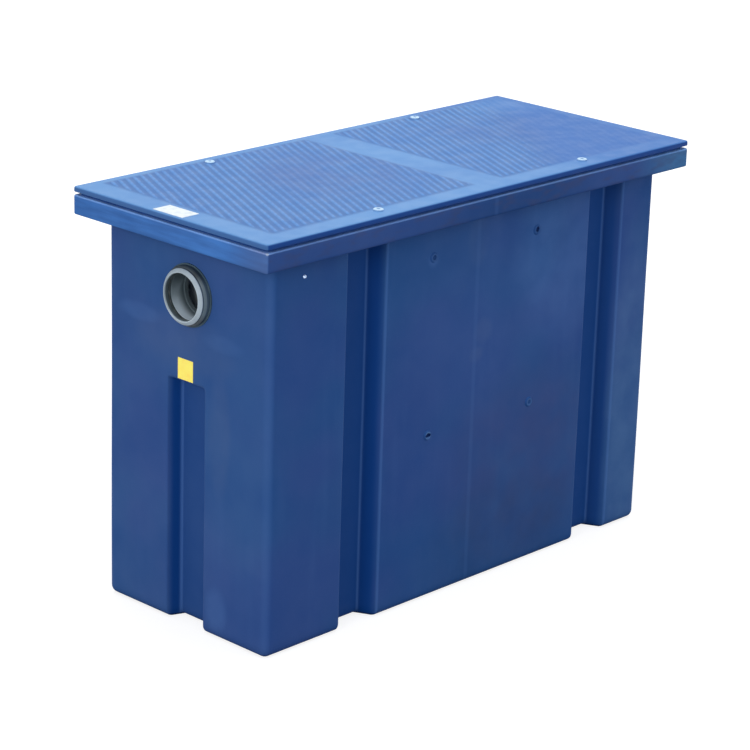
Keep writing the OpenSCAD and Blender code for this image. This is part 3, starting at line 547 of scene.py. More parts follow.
def tank_plastic():
    """Blue moulded polyethylene, cloudy, streaked upright, dull and finely grained.

    It is deep blue in the recesses, as painted shade, and deep blue along the rim's sides. Each
    face has its own copy of the blue, lighter or darker as painted light by how the light falls on
    it. Sun and handling have left milky streaks and specks on the faces that stand out. The upright
    edges, the recesses' edges and creases and the rim's top edge carry painted highlights, and the
    rim's ends carry painted light. Soft stains lie on the front wall and the inlet end, and painted
    shade lies low on the front wall.
    """
    f = Finish("tank plastic")
    far_x, far_y = abs(f.x), abs(f.y)
    below_rim = f.fall(f.z, rim_under - 0.006, rim_under + 0.001)
    on_rim = 1.0 - below_rim
    side = f.ease(far_y, *at_side) * below_rim
    end = f.ease(far_x, *at_end) * below_rim
    behind_end = 1.0 - end
    open_face = f.most(side, end)
    rim_end = f.ease(far_x, *at_rim_end)

    # Each face's blue, a lighter or darker copy of one plastic as painted light and shade; the
    # rim's ends get painted light, broken by smears
    end_floor_light = f.ease(far_x, 0.627, 0.631) * f.fall(far_y, 0.046, 0.049) * behind_end
    drift = f.spots(0.45, 2.0)
    rim_middle = f.ease(f.x, -0.30, 0.02, 0.05, 0.72) * f.fall(f.x, 0.15, 0.45)
    smear = f.spots(0.05, 5.0, (1.0, 4.0, 0.35))
    colour = f.cover(
        deep_blue,
        (side, side_blue),
        (end, end_blue),
        (end_floor_light, end_floor_light_blue),
        (f.ease(drift, 0.42, 0.62, 0.0, 0.22) * open_face, teal_blue),
        (f.fall(drift, 0.36, 0.52, 0.28) * open_face, violet_blue),
        (on_rim, rim_side_blue),
        (f.ease(f.x, 0.50, 0.70, 0.0, 0.85) * on_rim, rim_outlet_blue),
        (rim_middle * on_rim, rim_middle_blue),
        # Painted light on the rim's ends, broken by smears
        (f.ease(smear, 0.30, 0.65, 0.55, 1.0) * rim_end, rim_end_light_blue),
    )

    # Smudges along the rim, clouds, upright streaks and specks
    rim_smudge = f.ease(smear, 0.45, 0.70, 0.0, 0.35) * on_rim * (1.0 - rim_end)
    streak = f.spots(0.05, 4.0, (1.0, 1.0, 9.0))
    colour = f.cover(
        colour,
        (rim_smudge, mud_brown),
        (f.ease(f.spots(0.17, 4.0), 0.35, 0.7, 0.0, 0.30), deep_blue),
        (f.ease(streak, 0.5, 0.8, 0.0, 0.06) * open_face, milk_and_highlight_blue),
        (f.ease(f.spots(0.004, 2.0), 0.62, 0.75, 0.0, 0.06) * open_face, milk_and_highlight_blue),
    )

    # Stains and the painted shade low on the front wall, broken up by a haze
    haze = f.ease(f.spots(0.08, 3.0), 0.25, 0.75, 0.4, 0.9)
    front = f.fall(f.y, -at_side[1], -at_side[0]) * below_rim
    inlet_end = f.fall(f.x, -at_end[1], -at_end[0]) * below_rim
    for x, y, z, wide, high, share, tint in stains:
        face = front if y is None else inlet_end
        colour = f.mix(f.oval(x, y, z, wide, high) * face * haze * share, colour, tint)

    # Painted highlights on the upright corners and the side recesses' edges, halos round two plugs,
    # painted shade on the recesses' flanks, painted highlights in the end recess's creases, and the
    # mould's parting
    from_edge = f.apart(far_x - end_x, far_y - side_y)
    colour = f.mix(f.fall(from_edge, 0.006, 0.022, 0.11) * below_rim, colour, milk_and_highlight_blue)
    for x, depth, share in edge_highlights:
        from_line = f.apart(f.x - x, far_y - (side_y - depth))
        colour = f.mix(f.fall(from_line, 0.001, 0.006, share) * below_rim, colour, milk_and_highlight_blue)
    high_halo = f.near(-0.145, None, 0.850, 0.008, 0.024) * 0.20
    low_halo = f.near(-0.140, None, 0.416, 0.004, 0.018) * 0.15
    end_flank_shade = f.ease(far_x, 0.636, 0.642) * behind_end * below_rim
    end_flank_shade = end_flank_shade * f.ease(far_y, 0.045, 0.050) * f.fall(far_y, 0.064, 0.068)
    side_flank_shade = f.fall(abs(f.x + 0.311), 0.006, 0.012, 0.9) * (1.0 - side) * below_rim
    side_flank_shade = side_flank_shade * f.ease(far_y, 0.22, 0.225)
    from_crease = f.apart(far_x - (end_x - end_recess_depth), far_y - 0.049)
    colour = f.cover(
        colour,
        (f.most(high_halo, low_halo), milk_and_highlight_blue),
        (end_flank_shade * 0.8, flank_shade_blue),
        (side_flank_shade, flank_shade_blue),
        (f.fall(from_crease, 0.002, 0.007, 0.35) * below_rim, milk_and_highlight_blue),
        (f.near(0.0106, None, None, 0.002, 0.010) * 0.10, milk_and_highlight_blue),
    )

    # A painted highlight along the rim's top edge, the shaded foot, the rim's end paler towards its
    # near corner, and painted highlights at the near corner and along the top edge beside it
    top_edge = f.ease(f.z, rim_top - 0.0045, rim_top - 0.0015)
    top_edge = top_edge * f.ease(far_x, 0.700, 0.722, 0.45, 0.8)
    rubbed = f.fall(f.y, -0.32, -0.17, 0.50) * rim_end
    rubbed = rubbed * f.fall(f.z, rim_top - 0.004, rim_top - 0.001)
    corner_edge_highlight = f.fall(f.y, -0.32, -0.22, 0.7) * rim_end
    corner_edge_highlight = corner_edge_highlight * f.ease(f.z, rim_top - 0.004, rim_top - 0.0015)
    colour = f.cover(
        colour,
        (top_edge * f.ease(f.spots(0.06, 3.0), 0.3, 0.6, 0.7, 1.0), top_edge_highlight_blue),
        (f.fall(f.z, 0.002, 0.009, 0.85), shade_blue),
        (rubbed, rubbed_blue),
        (corner_edge_highlight, highlight_violet),
        (f.near(-0.7265, -0.3185, rim_top, 0.002, 0.0065), corner_highlight_blue),
    )

    grain = f.bump(f.spots(0.0025, 3.0), 0.0002)
    normal = f.bump(f.spots(0.05, 2.0), 0.0008, grain)
    under_rim = f.near(None, None, rim_under, 0.003, 0.008) * 0.3
    dull = f.most(f.fall(f.z, 0.010, 0.030, 0.25), under_rim)
    rough = f.ease(f.spots(0.06, 4.0), 0.3, 0.7, 0.56, 0.68) + dull
    return f.surface(Base_Color=colour, Roughness=rough, Normal=normal, Specular_IOR_Level=0.12)


tank_blue = tank_plastic()
tank = make_piece("tank_shell", shell_points, shell_faces, tank_blue, sharp=50)
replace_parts(tank, "tank_body")

# Lid. A thick moulded plate of the same blue polyethylene that lies on the seal over the rim,
# with two fields of raised diagonal rows as a tread. The rows are cast with the plate.

lid_under, lid_top = 0.992, 1.005
lid_foot_edge, lid_edge = 0.0017, 0.005
lid_line = 0.4

# The tread fields: their limits along the lid and across it, the width over which they begin,
# how far over the plate and down into it they reach, and the screws' heads in them
tread_limits = {"inlet": (-0.665, -0.003), "outlet": (0.082, 0.702)}
tread_front, tread_back = -0.270, 0.300
tread_clear, tread_rise = 0.002, 0.014
tread_lift, tread_skirt = 0.00004, 0.0006
head_places = [(x, y) for x in (-0.343, 0.365) for y in (-0.277, 0.277)]

# A row's lean, half width, height against the beads', and its distance to the next along the lid
row_lean = math.radians(63.4)
row_half_w = 0.0072
row_share = 0.65
row_pitch = 0.0223

# A bead's distance to the next across the lid, its turn, half width, half length and height
bead_pitch = 0.0225
bead_turn = math.radians(54)
bead_half_w = 0.0042
bead_half_l = 0.0140
bead_h = 0.001552

# Wear runs along slanted lines x - worn_slant y: none before the first, all past the second
worn_slant = 0.716
worn_from, worn_past = 0.36, 0.56
worn_share = 0.83


def lid_row(inset, z):
    """One row of the lid's outline, drawn in by inset."""
    return rim_row(rim_out - inset, z, rim_corner - inset)


lid_rows = [drawn_in(lid_row(lid_foot_edge, lid_under), lid_line, share) for share in (1, 0.5)]
lid_rows += [lid_row(inset, lid_under + rise) for inset, rise in quarter_round(lid_foot_edge)]
lid_rows += [lid_row(inset, lid_top - drop) for drop, inset in quarter_round(lid_edge)]
lid_rows += [drawn_in(lid_row(lid_edge, lid_top), lid_line, share) for share in (0.03, 0.5, 1)]

# The lid's blues. The margin is paler than the walls as painted light from above, the crest blue is
# painted light on the tread's tops, the groove blue is painted shade between them, and the side
# blue is painted shade on the edges
lid_margin = (0.118, 0.280, 0.565, 1)
lid_groove_shade = (0.055, 0.155, 0.390, 1)
lid_crest_light = (0.095, 0.255, 0.565, 1)
lid_worn = (0.045, 0.152, 0.440, 1)
lid_cloud = (0.070, 0.140, 0.370, 1)
lid_side_shade = (0.005, 0.056, 0.265, 1)


def lid_plastic():
    """The tank's plastic, paler on top as painted light: smooth pale margins, and tread rows whose
    crests are painted light and whose grooves are painted shade.

    The tread's colour fades into the margins. The tread is worn towards the outlet end's front,
    and clouds darken both fields. The edges are painted shade, as deep a blue as the recesses, and
    painted light makes them paler at the ends.
    """
    f = Finish("lid plastic")
    inlet, outlet = (
        f.ease(f.x, low - tread_clear, low + tread_rise)
        * f.fall(f.x, high - tread_rise, high + tread_clear)
        for low, high in tread_limits.values()
    )
    field = (inlet + outlet) * f.ease(f.y, tread_front - tread_clear, tread_front + tread_rise)
    field = field * f.fall(f.y, tread_back - tread_rise, tread_back + tread_clear)
    # Painted light on the rows' crests, over painted shade in the grooves
    crest = f.ease(f.z, lid_top + 0.0003, lid_top + 0.0013)
    worn = f.ease(f.x - f.y * worn_slant, worn_from, worn_past, 0.0, 0.92)
    dark = f.most(f.near(-0.20, 0.02, None, 0.05, 0.30), f.near(0.42, 0.06, None, 0.04, 0.20) * 0.7)
    rows = f.cover(
        lid_groove_shade,
        (crest, lid_crest_light),
        (worn, lid_worn),
        (dark * f.ease(f.spots(0.12, 4.0), 0.3, 0.65, 0.1, 0.6), lid_cloud),
        (f.near(0.66, 0.26, None, 0.02, 0.18) * 0.5, lid_crest_light),
    )
    margin = f.mix(f.ease(f.x, 0.20, 0.50, 0.0, 0.75), lid_margin, lid_worn)
    face = f.cover(
        margin,
        (field, rows),
        (f.ease(f.spots(0.20, 4.0), 0.4, 0.7, 0.0, 0.2), lid_worn),
        (f.ease(f.spots(0.012, 4.0), 0.56, 0.75, 0.0, 0.12), lid_margin),
    )
    # The edges in painted shade, with painted light at the ends
    edge = f.mix(f.ease(abs(f.x), *at_rim_end, 0.0, 0.45), lid_side_shade, lid_margin)
    colour = f.mix(f.ease(f.z, lid_top - 0.0035, lid_top - 0.0008), edge, face)
    grain = f.bump(f.spots(0.002, 3.0), 0.00015)
    normal = f.bump(f.spots(0.09, 2.0), 0.0010, grain)
    rough = f.ease(f.spots(0.05, 4.0), 0.3, 0.7, 0.38, 0.50)
    return f.surface(Base_Color=colour, Roughness=rough, Normal=normal, Specular_IOR_Level=0.12)


lid_blue = lid_plastic()
lid_faces = grid_faces(len(lid_rows), column_count)
lid = make_piece("lid_plate", np.array(lid_rows), lid_faces, lid_blue)
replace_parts(lid, "lid")


def tread(x, y):
    """Height of the tread over the plate at (x, y), from 0 to 1.

    A row's own height falls off as row_share (1 - (distance from its middle / half width)^2).
    Beads stand on the rows: turned bars, whose height falls off as 1 - (across / half width)^2
    and 1 - (along / half length)^4. The highest of all counts. It goes down to nothing round the
    screws' heads, and by worn_share past the worn line.
    """
    phase = (x - y * row_pitch / 2 / bead_pitch) / row_pitch
    apart = (phase - np.round(phase)) * row_pitch * math.sin(row_lean)
    height = row_share * np.clip(1 - (apart / row_half_w) ** 2, 0, 1)
    line = np.floor(y / bead_pitch)
    for up in (-1, 0, 1, 2):
        from_y = y - (line + up) * bead_pitch
        shift = (line + up) * row_pitch / 2
        for over in (-1, 0, 1):
            from_x = x - (shift + (np.round((x - shift) / row_pitch) + over) * row_pitch)
            along = from_x * math.cos(bead_turn) + from_y * math.sin(bead_turn)
            beside = from_y * math.cos(bead_turn) - from_x * math.sin(bead_turn)
            bead = np.clip(1 - (beside / bead_half_w) ** 2, 0, 1)
            bead *= np.clip(1 - (along / bead_half_l) ** 4, 0, 1)
            height = np.maximum(height, bead)
    for head_x, head_y in head_places:
        height *= np.clip((np.hypot(x - head_x, y - head_y) - 0.013) / 0.003, 0, 1)
    worn = np.clip((x - worn_slant * y - worn_from) / (worn_past - worn_from), 0, 1)
    return height * (1 - worn_share * worn * worn * (3 - 2 * worn))


def tread_field(name, x0, x1, y0, y1, step=0.0026):
    """A sheet on the plate from (x0, y0) to (x1, y1), raised by the tread and closed underneath.

    The tread begins tread_clear in from the sheet's border and rises over tread_rise.
    """
    x, y = np.meshgrid(np.arange(x0, x1, step), np.arange(y0, y1, step), indexing="ij")
    margin = np.minimum.reduce([x - x0, x1 - x, y - y0, y1 - y])
    rise = np.clip((margin - tread_clear) / tread_rise, 0, 1)
    z = lid_top + tread_lift + bead_h * tread(x, y) * rise
    top = np.stack([x, y, z], -1)
    number = np.arange(x.size).reshape(x.shape)
    border = np.concatenate([number[:-1, 0], number[-1, :-1], number[:0:-1, -1], number[0, :0:-1]])
    points = top.reshape(-1, 3)
    low = len(points) + np.arange(len(border))
    skirt = np.stack([border, np.roll(border, -1), np.roll(low, -1), low], 1)
    faces = grid_faces(*x.shape, wrap_columns=False).tolist() + skirt.tolist() + [low.tolist()]
    points = np.concatenate([points, points[border] - [0, 0, tread_skirt]])
    make_piece(name, points, faces, lid_blue, sharp=60)


for at, (low, high) in tread_limits.items():
    tread_field("lid_tread_" + at, low, high, tread_front, tread_back)

# Lid seal. A frame of blue-black rubber glued to the rim's flange. The lid's weight and its four
# screws press it flat, and it shows as the dark line under the lid. The other seals are black
# rubber, and dust has turned the sockets' rings and gaskets grey.


def dress(material, *names, count=0):
    """Gives CAD nodes this material. With a count, each name stands for name_1 to name_count."""
    if count:
        names = [f"{name}_{number}" for name in names for number in range(1, count + 1)]
    for name in names:
        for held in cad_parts[name].material_slots:
            held.material = material


def rubber(name, clean, dusty):
    """Dull rubber with a fine grain and dust in patches."""
    f = Finish(name)
    dust = f.ease(f.spots(0.02, 4.0), 0.4, 0.7)
    rough = f.ease(f.spots(0.01, 3.0), 0.3, 0.7, 0.6, 0.8)
    return f.surface(Base_Color=f.mix(dust, clean, dusty), Roughness=rough,
                     Normal=f.bump(f.spots(0.001, 2.0), 0.0001), Specular_IOR_Level=0.2)


dress(rubber("lid seal rubber", (0.012, 0.065, 0.260, 1), (0.020, 0.085, 0.320, 1)), "lid_seal")
dress(rubber("seal rubber", (0.012, 0.013, 0.014, 1), (0.045, 0.047, 0.045, 1)), "closure_seal")
dress(rubber("dusty ring rubber", (0.060, 0.075, 0.078, 1), (0.120, 0.140, 0.145, 1)),
      "inlet_seal_ring", "outlet_seal_ring")
dress(rubber("gasket rubber", (0.060, 0.105, 0.140, 1), (0.085, 0.135, 0.170, 1)),
      "inlet_gasket", "outlet_gasket")

# Lid screws and their inserts. Flat round heads of pale plastic with a hexagon socket, screwed
# into brass inserts that are pressed into the rim's top flange.


def screw_plastic():
    """Pale nylon, scratched by the key, a little dirty, tinted by the lid round its foot."""
    f = Finish("screw plastic")
    dirt = f.ease(f.spots(0.006, 4.0), 0.4, 0.7)
    colour = f.cover(
        (0.48, 0.68, 0.86, 1),
        (dirt, (0.36, 0.54, 0.72, 1)),
        (f.fall(f.z, lid_top + 0.0016, lid_top + 0.0034, 0.8), lid_margin),
    )
    return f.surface(Base_Color=colour, Roughness=0.35, Normal=f.bump(f.spots(0.003, 3.0), 0.0002))


def brass():
    """Turned brass, faintly ringed by the tool and tarnished in spots."""
    f = Finish("insert brass")
    tarnish = f.ease(f.spots(0.004, 3.0), 0.45, 0.7)
    colour = f.mix(tarnish, (0.70, 0.50, 0.20, 1), (0.45, 0.30, 0.12, 1))
    return f.surface(Base_Color=colour, Metallic=1.0, Roughness=0.3,
                     Normal=f.bump(f.spots(0.0008), 0.00005))


dress(screw_plastic(), "lid_screw", count=4)
dress(brass(), "lid_insert", count=4)

# Pipe sockets. Injection-moulded grey plastic with a lip at the mouth, a bead round the ring seal
# and a threaded barrel. Each is pushed through its opening on to a gasket, and a lock nut inside
# the tank pulls it tight.


def socket_profile(tail):
    """Closed outline of a socket, in metres: distance in from the wall's face, and radius.

    It runs from the lip's mouth over the bead and along the threaded barrel to the plain tail,
    and back through the bore, the stop for the pipe and the ring seal's groove.
    """
    corners = [
        (-24, 55.4), (-27.5, 56.2), (-27.5, 58.2), (-21, 65.5), (-18.5, 65), (-16.5, 65),
        (-14.5, 68), (-11.5, 70.5), (-3, 70.5), (-3, 60.7), (35, 60.7), (35, 55), (35 + tail, 55),
        (35 + tail, 51.8), (31.8, 51.8), (31.8, 55.3), (-6, 55.6), (-6, 66), (-15, 66),
        (-15, 55.4), (-24, 55.4),
    ]
    radii = [0.8, 0.8, 1.5, 0.5, 0.5, 0.8, 1, 0.8, 0.8, 1, 0.8, 0.8, 0.8, 0.8, 0.4, 0.3, 1, 1, 0.3]
    return rounded(corners, radii, 4)[:-1] / 1000


def spun(profile, x, y, z, side, turns=112):
    """The profile turned round an axis along X at (y, z): radius * (cos, sin) of each angle."""
    angle = np.linspace(0, 2 * np.pi, turns, endpoint=False)
    far, radius = np.repeat(profile[:, :1], turns, 1), profile[:, 1:]
    points = [x + side * far, y + radius * np.cos(angle), z + radius * np.sin(angle)]
    return np.stack(points, -1), grid_faces(len(profile), turns, wrap_rows=True)


def socket_grey():
    """Grey PVC, smooth and faintly mottled, with painted light and shade: a lip painted pale, less
    on one side, a dark bead behind it, darkest at its top and bottom, and a bore painted pale low
    down and dark at its top, deep inside and in the seal's groove.
    """
    f = Finish("socket plastic")
    far_x = abs(f.x)
    beside = f.y - f.ease(f.x, -0.1, 0.1, inlet_y, outlet_y)
    over = f.z - f.ease(f.x, -0.1, 0.1, inlet_z, outlet_z)
    outside = f.ease(beside ** 2.0 + over ** 2.0, 0.00317, 0.00325)
    # Painted light on the lip, weaker on one side
    lip = f.ease(far_x, 0.6862, 0.6872) * f.ease(beside, 0.030, 0.058, 1.0, 0.55)
    lip = lip * f.ease(f.spots(0.03, 3.0), 0.3, 0.6, 0.7, 1.0)
    # Painted shade on the bead behind the lip, darkest at its top and bottom
    bead = f.ease(far_x, 0.6695, 0.6702) * f.fall(far_x, 0.6860, 0.6872) * outside
    bead_shade = f.ease(abs(over - 0.004), 0.028, 0.056)
    bead_shade = bead_shade * f.ease(f.spots(0.03, 4.0), 0.3, 0.7, 0.7, 1.0)
    # Painted light low in the bore, and painted shade at its top, deep inside and in the seal's
    # groove
    bore = (1.0 - outside) * f.ease(far_x, 0.60, 0.61)
    hood = f.ease(over, -0.040, 0.040, 0.0, 0.92) * f.fall(far_x, 0.6905, 0.6925)
    throat = f.fall(far_x, 0.635, 0.664, 0.88)
    groove = f.ease(far_x, 0.680, 0.682) * f.fall(far_x, 0.6895, 0.6915, 0.85)
    colour = f.cover(
        (0.36, 0.45, 0.51, 1),
        (f.ease(f.spots(0.03, 4.0), 0.35, 0.7), (0.28, 0.35, 0.39, 1)),
        (lip, (0.50, 0.60, 0.66, 1)),
        (bead, (0.080, 0.125, 0.160, 1)),
        (bead * bead_shade, (0.022, 0.032, 0.042, 1)),
        (bore * f.fall(over, -0.055, 0.0, 0.9), (0.62, 0.73, 0.82, 1)),
        (f.most(f.most(hood, throat), groove) * bore, (0.026, 0.048, 0.058, 1)),
    )
    rough = f.ease(f.spots(0.02, 3.0), 0.3, 0.7, 0.42, 0.58)
    return f.surface(Base_Color=colour, Roughness=rough, Normal=f.bump(f.spots(0.004, 2.0), 0.0001))


grey_plastic = socket_grey()
for name, x, y, z, side, tail in (
    ("inlet_socket", -end_x, inlet_y, inlet_z, 1, 8),
    ("outlet_socket", end_x, outlet_y, outlet_z, -1, 34),
):
    points, faces = spun(socket_profile(tail), x, y, z, side)
    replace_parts(make_piece(name + "_piece", points, faces, grey_plastic), name)
dress(grey_plastic, "inlet_lock_nut", "outlet_lock_nut")

# Deflector. A round stainless bar across the tank, held by one small screw through each long
# wall, with a folded plastic plate hooked over it that turns the incoming water down.


def stainless():
    """Drawn stainless steel: fine streaks along the bars, a few dull stains."""
    f = Finish("stainless")
    streak = f.spots(0.002, 3.0, (1.0, 12.0, 1.0))
    stain = f.ease(f.spots(0.05, 3.0), 0.4, 0.7)
    colour = f.mix(stain, (0.62, 0.63, 0.65, 1), (0.48, 0.49, 0.50, 1))
    rough = f.ease(streak, 0.3, 0.7, 0.22, 0.38)
    return f.surface(Base_Color=colour, Metallic=1.0, Roughness=rough,
                     Normal=f.bump(streak, 0.00003))


def sheet_plastic(name, clean):
    """Grey extruded sheet, faintly lined by its rollers, with mud dried on its lower half."""
    f = Finish(name)
    mud = f.fall(f.z + f.spots(0.1, 4.0) * 0.2, 0.2, 0.6, 0.6)
    colour = f.mix(mud, clean, (0.090, 0.070, 0.045, 1))
    line = f.spots(0.003, 2.0, (1.0, 1.0, 60.0))
    return f.surface(Base_Color=colour, Roughness=f.ease(line, 0.3, 0.7, 0.45, 0.55),
                     Normal=f.bump(line, 0.00002))


def zinc():
    """Zinc-plated screw, bluish and bright, with a dull bloom in spots."""
    f = Finish("zinc")
    bloom = f.ease(f.spots(0.003, 3.0), 0.4, 0.7)
    colour = f.mix(bloom, (0.66, 0.80, 1.0, 1), (0.56, 0.70, 0.92, 1))
    return f.surface(Base_Color=colour, Metallic=0.8, Roughness=f.ease(bloom, 0.0, 1.0, 0.35, 0.50),
                     Normal=f.bump(f.spots(0.001, 2.0), 0.00005))


steel = stainless()
grey_sheet = sheet_plastic("baffle sheet", (0.075, 0.085, 0.100, 1))
dress(steel, "deflector_bar")
dress(zinc(), "deflector_screw_1", "deflector_screw_2")
dress(sheet_plastic("deflector sheet", (0.66, 0.74, 0.77, 1)), "inlet_deflector")

# Baffles. Two plastic sheets with flanges across the tank. Each is held by four plugs of blue
# plastic, which show on the long walls as low round heads, with a nut on each inside.

# Marks on the plugs' heads: place, share of the pale ring, which is painted highlight, share of the
# dark mark, and the mark's half width, half height and slant
plug_marks = (
    (-0.145, 0.856, 0.15, 0.25, 0.0060, 0.0060, 0.0),
    (0.218, 0.858, 0.10, 1.0, 0.0055, 0.0068, 0.0),
    (-0.145, 0.420, 0.50, 1.0, 0.0090, 0.0042, 0.3),
    (0.218, 0.420, 0.25, 0.0, 0.0050, 0.0050, 0.0),
)


def plug_plastic():
    """Blue nylon, coloured as the tank is, with a pale ring of painted highlight round each head
    and a dark mark on some heads.
    """
    f = Finish("plug plastic")
    mottle = f.ease(f.spots(0.006, 4.0), 0.4, 0.7)
    colour = f.mix(mottle, (0.022, 0.082, 0.270, 1), (0.026, 0.090, 0.290, 1))
    for x, z, rim, dark_share, wide, high, slant in plug_marks:
        across = f.x - x - (f.z - z) * slant
        hole = f.fall((across / wide) ** 2.0 + ((f.z - z) / high) ** 2.0, 0.6, 1.5)
        ring = f.most(f.near(x, None, z, 0.009, 0.010) - hole, 0.0)
        # A pale ring of painted highlight round each head, and a dark mark
        colour = f.cover(
            colour,
            (ring * rim, (0.13, 0.27, 0.55, 1)),
            (hole * dark_share, (0.000, 0.014, 0.085, 1)),
        )
    return f.surface(Base_Color=colour, Roughness=0.7, Normal=f.bump(f.spots(0.002, 3.0), 0.0001),
                     Specular_IOR_Level=0.1)


dress(grey_sheet, "inlet_baffle", "outlet_baffle")
dress(plug_plastic(), "baffle_screw", "baffle_nut", count=8)

# Coalescer. A stainless frame of angles and rails that holds thirteen corrugated plastic plates
# on the collars of four spacer rods. It lifts out of the tank by a bent handle.


def plate_plastic():
    """Thin pale green sheet, oily in patches, which shows as changes of gloss."""
    f = Finish("plate plastic")
    oil = f.ease(f.spots(0.05, 4.0), 0.4, 0.65)
    colour = f.mix(oil, (0.20, 0.34, 0.30, 1), (0.10, 0.16, 0.12, 1))
    return f.surface(Base_Color=colour, Roughness=f.ease(oil, 0.0, 1.0, 0.45, 0.15),
                     Normal=f.bump(f.spots(0.003, 2.0), 0.0001))


dress(steel, "coalescer_frame", "coalescer_handle")
dress(steel, "spacer_rod", count=4)
dress(plate_plastic(), "coalescer_plates")

# Outlet riser and closure. A grey standpipe on a hollow valve body, with a float that slides in
# a steel cage and drops on to the seat when oil reaches it.


def float_plastic():
    """Cream foam-filled float, blow-moulded, stained near the water line."""
    f = Finish("float plastic")
    stain = f.fall(f.z + f.spots(0.03, 4.0) * 0.04, 0.20, 0.24, 0.6)
    colour = f.mix(stain, (0.70, 0.66, 0.50, 1), (0.32, 0.26, 0.15, 1))
    return f.surface(Base_Color=colour, Roughness=0.45, Normal=f.bump(f.spots(0.004, 3.0), 0.0002))


def knob_plastic():
    """Red phenolic knob, polished, with hairline scratches."""
    f = Finish("knob plastic")
    scratch = f.spots(0.001, 3.0, (1.0, 1.0, 8.0))
    pale = f.ease(scratch, 0.55, 0.7, 0.0, 0.4)
    colour = f.mix(pale, (0.42, 0.02, 0.015, 1), (0.55, 0.12, 0.10, 1))
    return f.surface(Base_Color=colour, Roughness=f.ease(scratch, 0.4, 0.7, 0.18, 0.4),
                     Normal=f.bump(scratch, 0.00003))


dress(grey_plastic, "outlet_riser", "closure_body")
dress(steel, "closure_cage", "float_rod")
dress(float_plastic(), "closure_float")
dress(knob_plastic(), "float_knob")

# Labels. Two bare self-adhesive films, a square yellow one over the inlet end's recess and a
# long white one on the lid's margin. They are pressed on and carry no print.


def film(name, clean, dirty, painted_glow):
    """Glossy film that dust has dulled in patches. Where it is given a glow, it shines a little by
    itself as painted light.
    """
    f = Finish(name)
    colour = f.mix(f.ease(f.spots(0.015, 4.0), 0.4, 0.75), clean, dirty)
    return f.surface(Base_Color=colour, Roughness=f.ease(f.spots(0.01), 0.3, 0.7, 0.35, 0.5),
                     Normal=f.bump(f.spots(0.008, 2.0), 0.0001), Emission_Color=colour,
                     Emission_Strength=painted_glow)


# The yellow label's faint glow is painted light
dress(film("label yellow", (1.0, 0.86, 0.14, 1), (1.0, 0.74, 0.12, 1), 0.25), "inlet_label")
dress(film("label white", (0.74, 0.80, 0.82, 1), (0.60, 0.68, 0.72, 1), 0.0), "lid_label")

# Studio. A pale floor that runs out of sight, a white surround, one broad soft lamp overhead, one
# towards the inlet end and a weaker one in front. The camera stands where the photograph was
# taken from.


def seen(f):
    """1 for rays that come from the camera, a reflection or a clear body, else 0."""
    path = [f.node("ShaderNodeLightPath", {}, {}, name)
            for name in ("Is Camera Ray", "Is Glossy Ray", "Is Transmission Ray")]
    either = path[0] + path[1] + path[2]
    return f.node("ShaderNodeMath", {"operation": "MINIMUM"}, {0: either, 1: 1.0})


def floor_finish():
    """Pale floor: white to the camera and in reflections, grey to the light that it throws back."""
    f = Finish("floor")
    shown = seen(f)
    colour = f.mix(shown, (0.30, 0.30, 0.31, 1), (0.35, 0.35, 0.35, 1))
    white = f.ease(f.apart(f.x, f.y), 1.0, 3.0, 0.80, 1.0) * shown
    return f.surface(Base_Color=colour, Roughness=0.9, Specular_IOR_Level=0.0,
                     Emission_Color=f.mix(white, (0, 0, 0, 1), (1, 1, 1, 1)), Emission_Strength=1.0)


floor_half, floor_z = 30, -0.0002
floor_corners = [(x * floor_half, y * floor_half, floor_z)
                 for x, y in ((-1, -1), (1, -1), (1, 1), (-1, 1))]
floor_mesh = bpy.data.meshes.new("floor")
floor_mesh.from_pydata(floor_corners, [], [(0, 1, 2, 3)])
floor_mesh.materials.append(floor_finish())
floor = bpy.data.objects.new("floor", floor_mesh)
bpy.context.scene.collection.objects.link(floor)

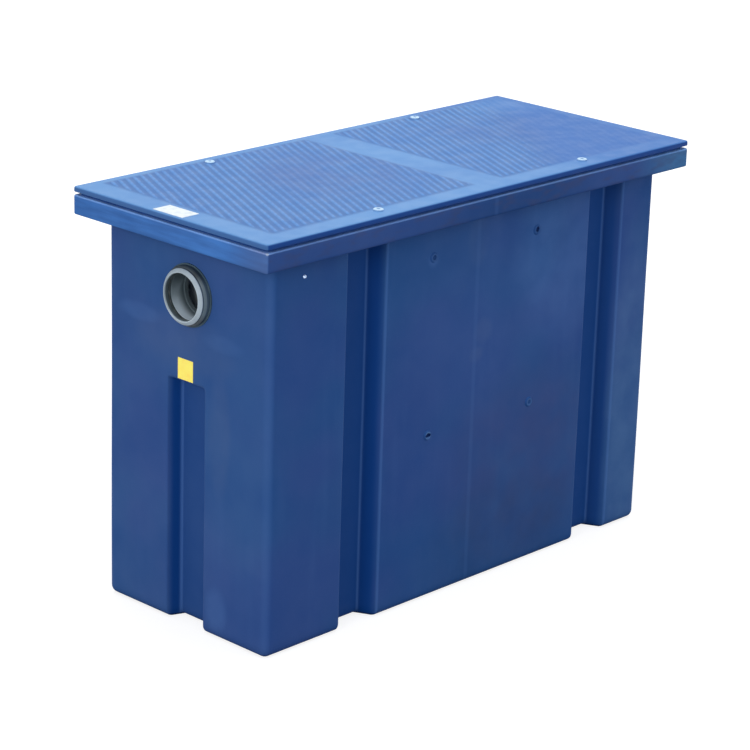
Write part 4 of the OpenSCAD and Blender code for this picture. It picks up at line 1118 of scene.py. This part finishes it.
surround = Finish("surround", bpy.data.worlds.new("surround"))
glow = surround.mix(seen(surround), (0.50, 0.51, 0.54, 1), (1, 1, 1, 1))
background = surround.node("ShaderNodeBackground", {}, {"Color": glow})
surround.node("ShaderNodeOutputWorld", {}, {0: background})
bpy.context.scene.world = surround.material


def set_up(name, data, right, up, back, place):
    """Stands a lamp or a camera at place, turned so that these are its own X, Y and Z."""
    pose = np.eye(4)
    pose[:3] = np.column_stack([right, up, back, place])
    item = bpy.data.objects.new(name, data)
    item.matrix_world = Matrix(pose.tolist())
    bpy.context.scene.collection.objects.link(item)
    return item


def lamp(name, place, aim, size, power):
    """A square soft lamp at place that points at aim."""
    light = bpy.data.lights.new(name, "AREA")
    light.shape, light.size, light.energy = "SQUARE", size, power
    back = np.subtract(place, aim)
    back = back / np.linalg.norm(back)
    right = np.cross((0.0, 1.0, 0.2), back)
    right /= np.linalg.norm(right)
    set_up(name, light, right, np.cross(back, right), back, place)


lamp("overhead lamp", (0.2, 0.3, 3.6), (0.0, 0.0, 0.9), 3.5, 70)
lamp("end lamp", (-4.6, -1.6, 2.2), (-0.6, 0.0, 0.5), 2.0, 70)
lamp("front lamp", (2.0, -5.0, 2.4), (0.0, 0.0, 0.5), 2.0, 45)

# The camera's turn, its height over the horizon and its roll, what it looks at, how far off it
# stands and how far it is moved aside and down, and its focal length in the photo's pixels
turned, raised, rolled = math.radians(-46.545), math.radians(18.704), math.radians(1.746)
looked_at = np.array([0, 0, 0.505])
distance, aside, down = 6.7584, 0.0321, 0.0348
focal, photo_w, sensor_w = 2764.9, 750, 36
back = np.array([math.sin(turned) * math.cos(raised), -math.cos(turned) * math.cos(raised),
                 math.sin(raised)])
right = np.cross(-back, (0, 0, 1))
right /= np.linalg.norm(right)
up = np.cross(right, -back)
right, up = (math.cos(rolled) * right + math.sin(rolled) * up,
             math.cos(rolled) * up - math.sin(rolled) * right)
stand = looked_at + distance * back - aside * right - down * up
view = bpy.data.cameras.new("camera")
view.sensor_width = sensor_w
view.lens = focal * sensor_w / photo_w
bpy.context.scene.camera = set_up("camera", view, right, up, back, stand)
bpy.context.scene.view_settings.view_transform = "Standard"
